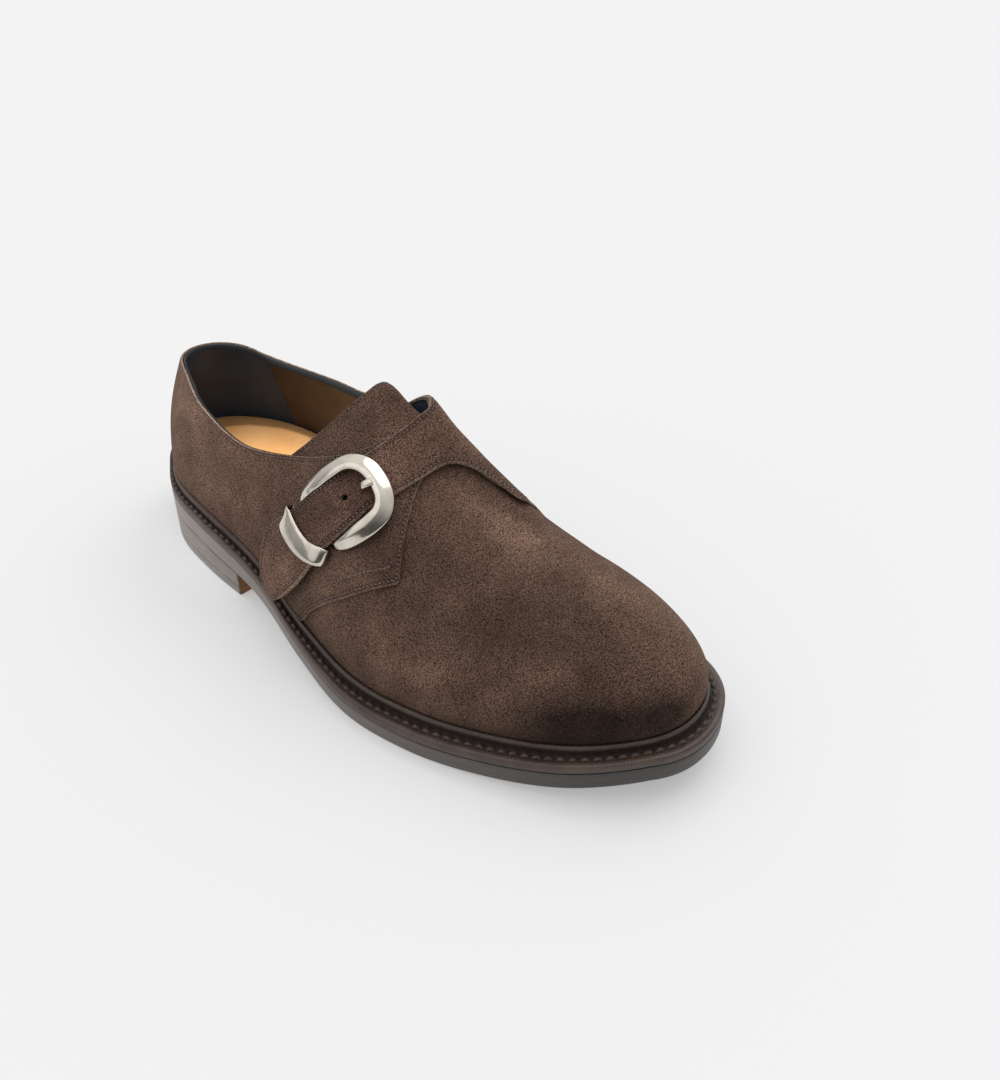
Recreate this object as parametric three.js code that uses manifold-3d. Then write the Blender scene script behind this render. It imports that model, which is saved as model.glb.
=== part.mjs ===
// A right single monk strap shoe in suede: a hollow upper with overlaid quarters, a tongue, a strap
// through a metal buckle and keeper, and a welted sole with a stacked heel.
// Millimetres, +Z up, toe towards -Y, the buckle on the outer side at -X, standing on Z = 0.

import * as THREE from 'three';
import { mergeVertices } from 'three/addons/utils/BufferGeometryUtils.js';
import Module from 'manifold-3d';

const wasm = await Module();
wasm.setup();

// The foot form, and the height of the upper over it
const LAST_LENGTH = 288;
const BALL_WIDTH = 92;
const HEEL_RADIUS = 26;
const TOE_RADIUS = 32;
const INSTEP_HEIGHT = 100;
const TOE_SWING = 4;
const WALL_BULGE = 1.5;
const RIDGE_ROUNDING = 3.5;

// The sole and its welt
const HEEL_RISE = 15;
const TOE_SPRING = 11;
const EDGE_HEIGHT = 10.6;
const WELT_HEIGHT = 3.5;
const WELT_SEAT = 0.5;
const WELT_OVERHANG = 7.4;
const STORM_RIDGE = 4.2;
const STORM_RIDGE_WIDTH = 2.6;
const TOP_PIECE = 5;
const BREAST_SETBACK = 88;
const SOLE_CHAMFER = 0.8;
const INSOLE_OVER_FEATHER = 2.5;

// The leather pieces of the upper
const UPPER_WALL = 2;
const QUARTER_LAYER = 1.3;
const INNER_QUARTER_LAYER = 1;
const TAB_LAYER = 1.15;
const LAYER_ROOT = 1.4;
const TONGUE_THICKNESS = 2;
const TONGUE_CLEARANCE = 0.8;
const STRAP_THICKNESS = 2;
const TOPLINE_STEP = 0.5;

// The buckle and the keeper
const HEEL_BAR = 1.5;
const FRAME_WIDTH = 6.8;
const FRAME_THICKNESS = 2.4;
const FRAME_CLEARANCE = 1.3;
const PRONG_WIDTH = 2.4;
const PRONG_THICKNESS = 1.1;
const HOLE_DIAMETER = 4;
const SPARE_HOLE_DIAMETER = 2.4;
const KEEPER_WIDTH = 3.6;
const KEEPER_THICKNESS = 1.1;
const KEEPER_CLEARANCE = 0.5;

// The space left between pieces that lie on each other
const GAP = 0.3;

// Places along the last are shares of its length from the heel, and places up a side are shares of
// the way from the feather line, where the upper meets the welt, to the ridge along the instep.

// Half widths at the feather line, as shares of the ball width: place, outer side, inner side
const OUTLINE = [
  [0.05, 0.230, 0.255],
  [0.12, 0.355, 0.355],
  [0.22, 0.415, 0.385],
  [0.36, 0.450, 0.325],
  [0.50, 0.545, 0.345],
  [0.62, 0.595, 0.425],
  [0.72, 0.560, 0.470],
  [0.82, 0.473, 0.463],
  [0.91, 0.356, 0.374],
  [0.97, 0.212, 0.240],
];

// Underside of the sole: place, share of the heel rise, share of the toe spring
const SOLE_LINE = [
  [0.00, 1.00, 0],
  [0.12, 0.98, 0],
  [0.26, 0.88, 0],
  [0.40, 0.53, 0],
  [0.50, 0.26, 0],
  [0.59, 0.06, 0],
  [0.65, 0.00, 0],
  [0.73, 0.00, 0],
  [0.82, 0.00, 0.14],
  [0.91, 0.00, 0.48],
  [1.00, 0.00, 1.00],
];

// Height of sole and welt: place, share of the edge height
const EDGE_LINE = [
  [0.00, 1.20],
  [0.25, 1.18],
  [0.45, 0.96],
  [0.65, 0.94],
  [0.85, 1.02],
  [1.00, 1.03],
];

// How far the welt stands out: place, share of the overhang
const WELT_LINE = [
  [0.00, 0.51],
  [0.25, 0.62],
  [0.42, 0.65],
  [0.65, 1.00],
  [1.00, 1.04],
];

// The ridge along the instep: place, share of the instep height, shift to the inner side as a share
// of the ball width
const RIDGE = [
  [0.13, 1.12, 0.01],
  [0.30, 1.11, 0.055],
  [0.42, 1.04, 0.10],
  [0.52, 0.925, 0.13],
  [0.62, 0.755, 0.13],
  [0.72, 0.63, 0.12],
  [0.80, 0.58, 0.103],
  [0.87, 0.555, 0.076],
  [1.00, 0.47, 0.046],
];
const RIDGE_START = 0.13;
const RIDGE_END = 0.87;

// How full the cross section is: place, exponent of its superellipse
const FULLNESS = [
  [0.00, 1.44],
  [0.25, 1.36],
  [0.42, 1.40],
  [0.62, 1.70],
  [0.80, 1.92],
  [1.00, 2.34],
];

// The topline of the collar: place, share up the outer side, share up the inner side
const TOPLINE = [
  [0.00, 0.515, 0.515],
  [0.05, 0.51, 0.50],
  [0.09, 0.50, 0.455],
  [0.13, 0.468, 0.44],
  [0.18, 0.44, 0.455],
  [0.24, 0.42, 0.50],
  [0.28, 0.425, 0.55],
  [0.32, 0.458, 0.60],
  [0.38, 0.53, 0.68],
  [0.44, 0.62, 0.76],
  [0.50, 0.755, 0.86],
  [0.53, 0.88, 0.94],
  [0.56, 1.00, 1.00],
];
const THROAT = 0.56;

// Front parts of the quarters: place, share up the side of the lower edge, and of the upper edge
const OUTER_QUARTER = [
  [0.46, 0.02, 0.655],
  [0.49, 0.03, 0.72],
  [0.513, 0.10, 0.78],
  [0.54, 0.18, 0.84],
  [0.57, 0.256, 0.88],
  [0.59, 0.31, 0.85],
  [0.60, 0.335, 0.80],
  [0.612, 0.363, 0.69],
  [0.625, 0.395, 0.59],
  [0.646, 0.444, 0.47],
];
const INNER_QUARTER = [
  [0.46, 0.02, 0.785],
  [0.50, 0.03, 0.85],
  [0.54, 0.10, 0.92],
  [0.58, 0.19, 0.90],
  [0.62, 0.28, 0.88],
  [0.66, 0.37, 0.87],
  [0.70, 0.44, 0.86],
];
const QUARTER_FRONT = 0.46;
const QUARTER_FOOT = 0.02;
const LAPPED_SEAM = 0.07;

// The tab of the outer quarter under the strap: share down from the ridge, place of its front edge
const TAB = [
  [-0.16, 0.680],
  [-0.10, 0.678],
  [-0.05, 0.668],
  [0.00, 0.648],
  [0.10, 0.615],
  [0.22, 0.598],
];
const TAB_REAR = 0.575;

// The tongue: share down from the ridge, place of its rear edge
const TONGUE = [
  [-0.50, 0.39],
  [-0.35, 0.40],
  [-0.22, 0.417],
  [-0.12, 0.428],
  [0.00, 0.44],
  [0.12, 0.428],
  [0.22, 0.417],
  [0.35, 0.40],
  [0.46, 0.383],
  [0.56, 0.375],
];
const TONGUE_FRONT = 0.62;

// The strap: share down from the ridge, places of its rear and front edges, share of its full lift
const STRAP = [
  [-0.16, 0.530, 0.722, 0],
  [-0.10, 0.527, 0.722, 0],
  [-0.05, 0.528, 0.695, 0],
  [0.00, 0.532, 0.657, 0],
  [0.05, 0.533, 0.629, 0],
  [0.10, 0.532, 0.614, 0],
  [0.20, 0.520, 0.600, 0],
  [0.30, 0.503, 0.583, 0],
  [0.35, 0.494, 0.574, 0.2],
  [0.40, 0.486, 0.562, 1],
  [0.50, 0.460, 0.548, 1],
  [0.60, 0.440, 0.527, 1],
  [0.66, 0.434, 0.518, 1],
  [0.71, 0.418, 0.511, 0.85],
  [0.76, 0.400, 0.500, 0.55],
  [0.82, 0.388, 0.484, 0.2],
  [0.88, 0.384, 0.466, 0],
  [0.94, 0.387, 0.450, 0],
  [0.985, 0.402, 0.434, 0],
];

// The buckle's centre line: place, share down from the ridge, share of the full height over the
// strap, share of the frame's width, share of its thickness
const FRAME = [
  [0.443, 0.550, 0.10, 0.28, 0.66],
  [0.461, 0.450, 0.75, 0.52, 0.9],
  [0.489, 0.345, 1, 0.80, 1],
  [0.522, 0.298, 1, 0.96, 1],
  [0.557, 0.308, 1, 1, 1],
  [0.576, 0.356, 1, 1, 1],
  [0.579, 0.412, 0.95, 1, 1],
  [0.566, 0.506, 0.75, 0.76, 1],
  [0.545, 0.587, 0.25, 0.42, 0.8],
  [0.530, 0.600, 0, 0.22, 0.62],
  [0.490, 0.587, 0, 0.22, 0.62],
  [0.458, 0.572, 0, 0.22, 0.62],
];

// The prong: place, share down from the ridge, share of the way from its lowest to its highest
const PRONG = [
  [0.500, 0.576, 0],
  [0.512, 0.500, 0],
  [0.522, 0.430, 0],
  [0.5305, 0.381, 0.02],
  [0.5320, 0.371, 0.35],
  [0.5345, 0.360, 0.80],
  [0.5370, 0.340, 1],
  [0.5400, 0.318, 1],
];
const PRONG_HOLE = [0.5315, 0.374];
const SPARE_HOLE = [0.517, 0.438];

// The keeper's loop: place, share down from the ridge, share of the way from under to over the strap
const KEEPER = [
  [0.425, 0.622, 0.35],
  [0.426, 0.655, 0.85],
  [0.445, 0.688, 1],
  [0.470, 0.700, 1],
  [0.497, 0.695, 1],
  [0.522, 0.668, 1],
  [0.5365, 0.640, 0.75],
  [0.5385, 0.630, 0.35],
  [0.530, 0.628, 0],
  [0.500, 0.632, 0],
  [0.460, 0.630, 0],
  [0.436, 0.625, 0],
];

// Facets
const REAR_COLUMNS = 14;
const THROAT_COLUMNS = 6;
const FRONT_COLUMNS = 18;
const WALL_ROWS = 12;
const SOLE_POINTS = 84;
const FINE_COLUMNS = 360;
const FINE_ROWS = 80;

const shareOf = (angle) => (1 - Math.cos(angle)) / 2;
const angleOf = (share) => Math.acos(1 - 2 * share);
const range = (count, from, to) => Array.from({ length: count + 1 }, (_, i) => from + ((to - from) * i) / count);

// A smooth curve through rows [place, value, ...]: cubic pieces whose slopes come from the rows beside
function smooth(rows, at, column = 1) {
  const last = rows.length - 1;
  const x = (i) => rows[i][0];
  const y = (i) => rows[i][column];
  const slope = (i) => {
    if (i === 0 || i === last) {
      const a = Math.max(i - 1, 0);
      const b = Math.min(i + 1, last);
      return (y(b) - y(a)) / (x(b) - x(a));
    }
    const before = x(i) - x(i - 1);
    const after = x(i + 1) - x(i);
    const rise = before * before * (y(i + 1) - y(i)) + after * after * (y(i) - y(i - 1));
    return rise / (before * after * (before + after));
  };
  const place = Math.min(Math.max(at, x(0)), x(last));
  let i = 0;
  while (i < last - 1 && place > x(i + 1)) {
    i += 1;
  }
  const step = x(i + 1) - x(i);
  const t = (place - x(i)) / step;
  const u = 1 - t;
  return u * u * (1 + 2 * t) * y(i) + t * u * u * step * slope(i)
    + t * t * (3 - 2 * t) * y(i + 1) - t * t * u * step * slope(i + 1);
}

// Half width of the feather line at an angle, where round ends have the given radii
function halfWidth(angle, column) {
  const rows = OUTLINE.map((row) => {
    const a = angleOf(row[0]);
    return [a, (row[column] * BALL_WIDTH) / Math.sin(a)];
  });
  rows.unshift([0, Math.sqrt((HEEL_RADIUS * LAST_LENGTH) / 2)]);
  rows.push([Math.PI, Math.sqrt((TOE_RADIUS * LAST_LENGTH) / 2)]);
  return Math.sin(angle) * smooth(rows, angle);
}

const placeOf = (y) => Math.min(Math.max((LAST_LENGTH / 2 - y) / LAST_LENGTH, 0), 1);

// The front half swings to the inner side
function swing(y) {
  const ahead = Math.max(0, (placeOf(y) - 0.45) / 0.55);
  return TOE_SWING * ahead * ahead;
}

function soleBottom(share) {
  const rise = Math.max(0, smooth(SOLE_LINE, share, 1)) * HEEL_RISE;
  return rise + Math.max(0, smooth(SOLE_LINE, share, 2)) * TOE_SPRING;
}

const weltTop = (share) => soleBottom(share) + smooth(EDGE_LINE, share) * EDGE_HEIGHT;
const soleTop = (share) => weltTop(share) - WELT_HEIGHT;
const featherHeight = (share) => weltTop(share) + STORM_RIDGE;

// Point of the feather line: angle 0 at the heel, pi at the toe, the outer side first
function feather(angle) {
  const turn = THREE.MathUtils.euclideanModulo(angle, 2 * Math.PI);
  const outer = turn <= Math.PI;
  const fold = outer ? turn : 2 * Math.PI - turn;
  const share = shareOf(fold);
  const y = LAST_LENGTH / 2 - share * LAST_LENGTH;
  const x = outer ? -halfWidth(fold, 1) : halfWidth(fold, 2);
  return { x: x + swing(y), y, share };
}

function outward(angle) {
  const a = feather(angle - 1e-3);
  const b = feather(angle + 1e-3);
  return new THREE.Vector2(b.y - a.y, a.x - b.x).normalize();
}

// Point at a distance outside the feather line, at a height that depends on where it lies
function beside(angle, distance, height) {
  const { x, y } = feather(angle);
  const out = outward(angle);
  const py = y + out.y * distance;
  return new THREE.Vector3(x + out.x * distance, py, height(placeOf(py)));
}

// One rib of the outer surface, from the feather line up to the ridge, in even steps
function rib(angle) {
  const { x, y, share } = feather(angle);
  const out = outward(angle);
  const along = RIDGE_START + (RIDGE_END - RIDGE_START) * share;
  const ridgeY = LAST_LENGTH / 2 - along * LAST_LENGTH;
  const ridgeX = smooth(RIDGE, along, 2) * BALL_WIDTH + swing(ridgeY);
  const foot = featherHeight(share);
  const power = 2 / smooth(FULLNESS, share);
  const points = range(96, 0, Math.PI / 2).map((turn) => {
    const inwards = 1 - Math.max(0, Math.cos(turn)) ** power;
    const upwards = Math.sin(turn) ** power;
    const py = y + (ridgeY - y) * inwards;
    const crest = INSTEP_HEIGHT * smooth(RIDGE, placeOf(py), 1);
    const bulge = WALL_BULGE * 6.75 * upwards * (1 - upwards) ** 2;
    return new THREE.Vector3(
      x + (ridgeX - x) * inwards + out.x * bulge,
      py + out.y * bulge,
      foot + (crest - foot) * upwards,
    );
  });
  return evenly(points, FINE_ROWS);
}

// The same line cut into equal lengths
function evenly(points, count) {
  const travelled = [0];
  points.slice(1).forEach((p, i) => travelled.push(travelled[i] + p.distanceTo(points[i])));
  const total = travelled[travelled.length - 1];
  let k = 0;
  return range(count, 0, total).map((goal) => {
    while (k < points.length - 2 && travelled[k + 1] < goal) {
      k += 1;
    }
    const t = (goal - travelled[k]) / (travelled[k + 1] - travelled[k]);
    return points[k].clone().lerp(points[k + 1], Math.min(t, 1));
  });
}

// The outer surface of the upper as a fine grid of points and normals
function makeSurface() {
  const points = range(FINE_COLUMNS, 0, 2 * Math.PI).map(rib);
  const across = (i) => FINE_COLUMNS - i;
  const top = FINE_ROWS;
  const step = points[FINE_COLUMNS / 4][0].distanceTo(points[FINE_COLUMNS / 4][1]);
  const passes = Math.round((2 * RIDGE_ROUNDING * RIDGE_ROUNDING) / (step * step));
  const band = Math.round(FINE_ROWS / 5);
  for (let pass = 0; pass < passes; pass += 1) {
    const before = points.map((line) => line.slice(top - band - 1).map((p) => p.clone()));
    points.forEach((line, i) => {
      for (let j = top - band; j <= top; j += 1) {
        const k = j - (top - band - 1);
        const lower = before[i][k - 1];
        const upper = j < top ? before[i][k + 1] : before[across(i)][k - 1];
        const mean = lower.clone().add(upper).multiplyScalar(0.5);
        line[j] = before[i][k].clone().lerp(mean, 0.5);
      }
    });
  }
  const normals = points.map((line, i) => line.map((p, j) => {
    const ahead = points[(i + 1) % FINE_COLUMNS][j];
    const behind = points[(i + FINE_COLUMNS - 1) % FINE_COLUMNS][j];
    const up = j < top ? line[j + 1] : points[across(i)][top - 1];
    const down = j > 0 ? line[j - 1] : p;
    const normal = ahead.clone().sub(behind).cross(up.clone().sub(down));
    return normal;
  }));
  normals.forEach((line, i) => {
    const other = normals[across(i)][top - 1].clone().normalize();
    const mean = line[top - 1].clone().normalize().add(other);
    line[top] = mean;
  });
  normals.forEach((line) => line.forEach((n) => n.normalize()));
  return { points, normals };
}

const surface = makeSurface();

// Point on the surface at an angle and a share up its side, lifted off it by a distance
function onSurface(angle, up, lift = 0) {
  const turn = THREE.MathUtils.euclideanModulo(angle, 2 * Math.PI);
  const column = (turn / (2 * Math.PI)) * FINE_COLUMNS;
  const row = Math.min(Math.max(up, 0), 1) * FINE_ROWS;
  const i = Math.min(Math.floor(column), FINE_COLUMNS - 1);
  const j = Math.min(Math.floor(row), FINE_ROWS - 1);
  const mix = (grid) => {
    const low = grid[i][j].clone().lerp(grid[i + 1][j], column - i);
    const high = grid[i][j + 1].clone().lerp(grid[i + 1][j + 1], column - i);
    return low.lerp(high, row - j);
  };
  return mix(surface.points).addScaledVector(mix(surface.normals).normalize(), lift);
}

// The same by place and share down from the ridge, positive on the outer side
function downFrom(share, down, lift = 0) {
  const angle = angleOf(share);
  return onSurface(down >= 0 ? angle : 2 * Math.PI - angle, 1 - Math.abs(down), lift);
}

const normalAt = (share, down) => downFrom(share, down, 1).sub(downFrom(share, down)).normalize();

// Solids are lists of triangles, merged, cleaned of thin ones and turned face out
function toGeometry(triangles) {
  const positions = new Float32Array(triangles.flat().flatMap((p) => [p.x, p.y, p.z]));
  const loose = new THREE.BufferGeometry();
  loose.setAttribute('position', new THREE.BufferAttribute(positions, 3));
  const merged = mergeVertices(loose, 1e-4);
  const index = [];
  for (let i = 0; i < merged.index.count; i += 3) {
    const [a, b, c] = [0, 1, 2].map((k) => merged.index.getX(i + k));
    if (a !== b && b !== c && c !== a) {
      index.push(a, b, c);
    }
  }
  const p = merged.attributes.position;
  const corner = (i) => new THREE.Vector3().fromBufferAttribute(p, i);
  let volume = 0;
  for (let i = 0; i < index.length; i += 3) {
    volume += corner(index[i]).dot(corner(index[i + 1]).cross(corner(index[i + 2])));
  }
  if (volume < 0) {
    index.reverse();
  }
  merged.setIndex(index);
  return merged;
}

const quad = (a, b, c, d) => [[a, b, c], [a, c, d]];

// The solid between two sheets of points. Wrapped sheets run round on themselves, and hasTop says
// where the last row needs an edge.
function between(outer, inner, { wrap = false, hasTop = () => true } = {}) {
  const count = outer.length;
  const rows = outer[0].length;
  const triangles = [];
  for (let i = 0; i < (wrap ? count : count - 1); i += 1) {
    const next = (i + 1) % count;
    for (let j = 0; j < rows - 1; j += 1) {
      triangles.push(...quad(outer[i][j], outer[next][j], outer[next][j + 1], outer[i][j + 1]));
      triangles.push(...quad(inner[i][j], inner[i][j + 1], inner[next][j + 1], inner[next][j]));
    }
    triangles.push(...quad(outer[next][0], outer[i][0], inner[i][0], inner[next][0]));
    if (hasTop(i)) {
      const top = rows - 1;
      triangles.push(...quad(outer[i][top], outer[next][top], inner[next][top], inner[i][top]));
    }
  }
  if (!wrap) {
    const end = count - 1;
    for (let j = 0; j < rows - 1; j += 1) {
      triangles.push(...quad(outer[0][j], outer[0][j + 1], inner[0][j + 1], inner[0][j]));
      triangles.push(...quad(outer[end][j + 1], outer[end][j], inner[end][j], inner[end][j + 1]));
    }
  }
  return toGeometry(triangles);
}

// The solid through a stack of rings, whose ends are closed by strips from side to side
function stack(rings) {
  const count = rings[0].length;
  const triangles = [];
  for (let k = 0; k < rings.length - 1; k += 1) {
    for (let i = 0; i < count; i += 1) {
      const next = (i + 1) % count;
      triangles.push(...quad(rings[k][i], rings[k][next], rings[k + 1][next], rings[k + 1][i]));
    }
  }
  const floor = rings[0];
  const roof = rings[rings.length - 1];
  for (let i = 0; i < count / 2 - 1; i += 1) {
    const other = count - 1 - i;
    triangles.push(...quad(floor[i + 1], floor[i], floor[other], floor[other - 1]));
    triangles.push(...quad(roof[i], roof[i + 1], roof[other - 1], roof[other]));
  }
  return toGeometry(triangles);
}

// A bar along a closed or open line: each station has a centre, the way its width runs, its half
// width and its half thickness, and the section is a list of shares of the two
function bar(stations, section, closed) {
  const rings = stations.map(({ centre, wide, thick, halfWide, halfThick }) => section.map(([w, t]) => (
    centre.clone().addScaledVector(wide, w * halfWide).addScaledVector(thick, t * halfThick))));
  const sides = section.length;
  const triangles = [];
  for (let k = 0; k < (closed ? rings.length : rings.length - 1); k += 1) {
    const after = rings[(k + 1) % rings.length];
    for (let i = 0; i < sides; i += 1) {
      const next = (i + 1) % sides;
      triangles.push(...quad(rings[k][i], after[i], after[next], rings[k][next]));
    }
  }
  if (!closed) {
    const [first, last] = [rings[0], rings[rings.length - 1]];
    for (let i = 1; i < sides - 1; i += 1) {
      triangles.push([first[0], first[i], first[i + 1]], [last[0], last[i + 1], last[i]]);
    }
  }
  return toGeometry(triangles);
}

function toManifold(geometry) {
  return new wasm.Manifold(new wasm.Mesh({
    numProp: 3,
    vertProperties: geometry.attributes.position.array,
    triVerts: new Uint32Array(geometry.index.array),
  }));
}

function fromManifold(solid) {
  const mesh = solid.getMesh();
  const geometry = new THREE.BufferGeometry();
  geometry.setAttribute('position', new THREE.BufferAttribute(mesh.vertProperties, 3));
  geometry.setIndex(new THREE.BufferAttribute(mesh.triVerts, 1));
  return geometry;
}

const round = (count) => range(count, 0, count).slice(0, count).map((i) => ((i + 0.5) / count) * 2 * Math.PI);

// The angles of the upper's columns, close behind the throat and with one exactly at it on each side
function upperAngles() {
  const throat = angleOf(THROAT);
  const rear = angleOf(QUARTER_FRONT);
  const half = [
    ...range(REAR_COLUMNS, 0, rear),
    ...range(THROAT_COLUMNS, rear, throat).slice(1),
    ...range(FRONT_COLUMNS, throat, Math.PI).slice(1),
  ];
  return [...half, ...half.slice(1, -1).reverse().map((a) => 2 * Math.PI - a)];
}

// The topline's share up the side at an angle: it closes on the ridge ahead of the throat
function toplineAt(angle) {
  const outer = angle <= Math.PI;
  const share = shareOf(outer ? angle : 2 * Math.PI - angle);
  return share > THROAT - 1e-9 ? 1 : Math.min(1, smooth(TOPLINE, share, outer ? 1 : 2));
}

// The vamp and linings as one hollow shell, open at the collar and underneath
function baseShell() {
  const angles = upperAngles();
  const sheet = (lift) => angles.map((angle) => {
    const wall = range(WALL_ROWS, 0, 1).map((t) => onSurface(angle, t * toplineAt(angle), lift));
    const foot = wall[0].clone();
    foot.setZ(soleTop(placeOf(foot.y)) + GAP);
    return [foot, ...wall];
  });
  const open = (i) => toplineAt(angles[i]) < 1 || toplineAt(angles[(i + 1) % angles.length]) < 1;
  return between(sheet(0), sheet(-UPPER_WALL), { wrap: true, hasTop: open });
}

// One quarter laid over the shell: signed angles run from the inner side through the heel
function quarterPlate(angles, table, layer) {
  const sheet = (lift) => angles.map((angle) => {
    const turn = THREE.MathUtils.euclideanModulo(angle, 2 * Math.PI);
    const place = shareOf(Math.abs(angle));
    const rear = place < QUARTER_FRONT;
    const step = TOPLINE_STEP / LAST_LENGTH;
    const low = rear ? QUARTER_FOOT : smooth(table, place, 1);
    const high = rear ? toplineAt(turn) - 2 * step : smooth(table, place, 2);
    return range(9, low, high).map((up) => onSurface(angle, up, lift));
  });
  return between(sheet(layer), sheet(-LAYER_ROOT));
}

function outerQuarter() {
  const seam = angleOf(LAPPED_SEAM);
  const front = angleOf(QUARTER_FRONT);
  const tip = angleOf(OUTER_QUARTER[OUTER_QUARTER.length - 1][0]);
  const angles = [...range(16, -seam, front), ...range(12, front, tip).slice(1)];
  return quarterPlate(angles, OUTER_QUARTER, QUARTER_LAYER);
}

function innerQuarter() {
  const seam = angleOf(LAPPED_SEAM) - 0.1;
  const front = angleOf(QUARTER_FRONT);
  const tip = angleOf(INNER_QUARTER[INNER_QUARTER.length - 1][0]);
  const angles = [...range(8, -tip, -front), ...range(12, -front, -seam).slice(1)];
  return quarterPlate(angles, INNER_QUARTER, INNER_QUARTER_LAYER);
}

// The front tab of the outer quarter, which crosses the ridge under the strap
function quarterTab() {
  const first = TAB[0][0];
  const last = TAB[TAB.length - 1][0];
  const sheet = (lift) => range(9, first, last).map((down) => (
    range(3, TAB_REAR, smooth(TAB, down)).map((share) => downFrom(share, down, lift))));
  return between(sheet(TAB_LAYER), sheet(-LAYER_ROOT));
}

function upper() {
  const overlays = [outerQuarter(), innerQuarter(), quarterTab()];
  const joined = overlays.reduce((solid, next) => solid.add(toManifold(next)), toManifold(baseShell()));
  return fromManifold(joined);
}

// The tongue lies inside the quarters and reaches under the throat
function tongue() {
  const first = TONGUE[0][0];
  const last = TONGUE[TONGUE.length - 1][0];
  const outside = -UPPER_WALL - TONGUE_CLEARANCE;
  const sheet = (lift) => range(18, first, last).map((down) => (
    range(8, smooth(TONGUE, down), TONGUE_FRONT).map((share) => downFrom(share, down, lift))));
  return between(sheet(outside), sheet(outside - TONGUE_THICKNESS));
}

const strapSeat = QUARTER_LAYER + GAP;
const strapLift = HEEL_BAR + GAP;
const frameSeat = strapSeat + HEEL_BAR / 2;
const frameCrest = strapSeat + STRAP_THICKNESS + FRAME_CLEARANCE + FRAME_THICKNESS / 2;

// A punched hole through the strap at a place and share down from the ridge
function punch([share, down], diameter) {
  const height = 4 * (STRAP_THICKNESS + strapLift);
  const hole = mergeVertices(bare(new THREE.CylinderGeometry(diameter / 2, diameter / 2, height, 10)));
  const axis = normalAt(share, down);
  hole.applyQuaternion(new THREE.Quaternion().setFromUnitVectors(new THREE.Vector3(0, 1, 0), axis));
  const centre = downFrom(share, down, strapSeat);
  return toManifold(hole.translate(centre.x, centre.y, centre.z));
}

function bare(geometry) {
  geometry.deleteAttribute('normal');
  geometry.deleteAttribute('uv');
  return geometry;
}

// The strap starts on the inner quarter, crosses the ridge and runs through the buckle and keeper
function strap() {
  const first = STRAP[0][0];
  const last = STRAP[STRAP.length - 1][0];
  const sheet = (lift) => range(44, first, last).map((down) => {
    const raise = strapSeat + strapLift * smooth(STRAP, down, 3) + lift;
    const rear = smooth(STRAP, down, 1);
    return range(4, rear, smooth(STRAP, down, 2)).map((share) => downFrom(share, down, raise));
  });
  const leather = toManifold(between(sheet(STRAP_THICKNESS), sheet(0)));
  return fromManifold(leather
    .subtract(punch(PRONG_HOLE, HOLE_DIAMETER))
    .subtract(punch(SPARE_HOLE, SPARE_HOLE_DIAMETER)));
}

// Stations along a smooth line through table rows, whose height off the surface runs between two
// distances. Widths and thicknesses are further columns, or full where the table has none.
function stationsAlong(table, count, closed, low, high, width, thickness, upwards) {
  const line = (points) => new THREE.CatmullRomCurve3(points, closed, 'centripetal');
  const lifts = table.map((row) => low + (high - low) * row[2]);
  const centres = line(table.map((row, i) => downFrom(row[0], row[1], lifts[i])));
  const plain = new THREE.CatmullRomCurve3(
    table.map((row) => new THREE.Vector3(row[3] ?? 1, row[4] ?? 1, 0)), closed, 'catmullrom', 0.5);
  const normals = line(table.map((row) => normalAt(row[0], row[1])));
  return range(count, 0, 1).slice(0, closed ? count : count + 1).map((t) => {
    const tangent = centres.getTangent(t);
    const normal = normals.getPoint(t).normalize();
    const size = plain.getPoint(t);
    const wide = (upwards ?? tangent.clone().cross(normal)).clone();
    wide.addScaledVector(tangent, -wide.dot(tangent)).normalize();
    return {
      centre: centres.getPoint(t),
      wide,
      thick: wide.clone().cross(tangent).normalize(),
      halfWide: (width * size.x) / 2,
      halfThick: (thickness * size.y) / 2,
    };
  });
}

const DOMED = [[-1, -0.3], [-0.8, -1], [0.8, -1], [1, -0.3], [0.72, 0.55], [0.28, 1], [-0.28, 1], [-0.72, 0.55]];
const BAND = [[-1, -0.7], [1, -0.7], [1, 0.2], [0.5, 1], [-0.5, 1], [-1, 0.2]];

function buckleFrame() {
  const stations = stationsAlong(FRAME, 40, true, frameSeat, frameCrest, FRAME_WIDTH, FRAME_THICKNESS);
  return bar(stations, DOMED, true);
}

function buckleProng() {
  const low = strapSeat + PRONG_THICKNESS / 2;
  const high = frameCrest + FRAME_THICKNESS / 2 + GAP + PRONG_THICKNESS / 2;
  const stations = stationsAlong(PRONG, 18, false, low, high, PRONG_WIDTH, PRONG_THICKNESS);
  return bar(stations, BAND, false);
}

// The keeper's band goes round the strap and is as wide as it is along the strap
function keeperLoop() {
  const low = strapSeat + KEEPER_THICKNESS / 2;
  const high = strapSeat + strapLift + STRAP_THICKNESS + KEEPER_CLEARANCE + KEEPER_THICKNESS / 2;
  const alongStrap = downFrom(0.487, 0.60).sub(downFrom(0.487, 0.70)).normalize();
  const stations = stationsAlong(KEEPER, 30, true, low, high, KEEPER_WIDTH, KEEPER_THICKNESS, alongStrap);
  return bar(stations, BAND, true);
}

const overhang = (share) => smooth(WELT_LINE, share) * WELT_OVERHANG;
const soleEdge = (angle, inset, height) => (
  beside(angle, overhang(feather(angle).share) - inset, height));

function outsole() {
  const ring = (inset, height) => round(SOLE_POINTS).map((angle) => soleEdge(angle, inset, height));
  return stack([
    ring(SOLE_CHAMFER, soleBottom),
    ring(0, (share) => soleBottom(share) + SOLE_CHAMFER),
    ring(0, soleTop),
  ]);
}

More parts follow.
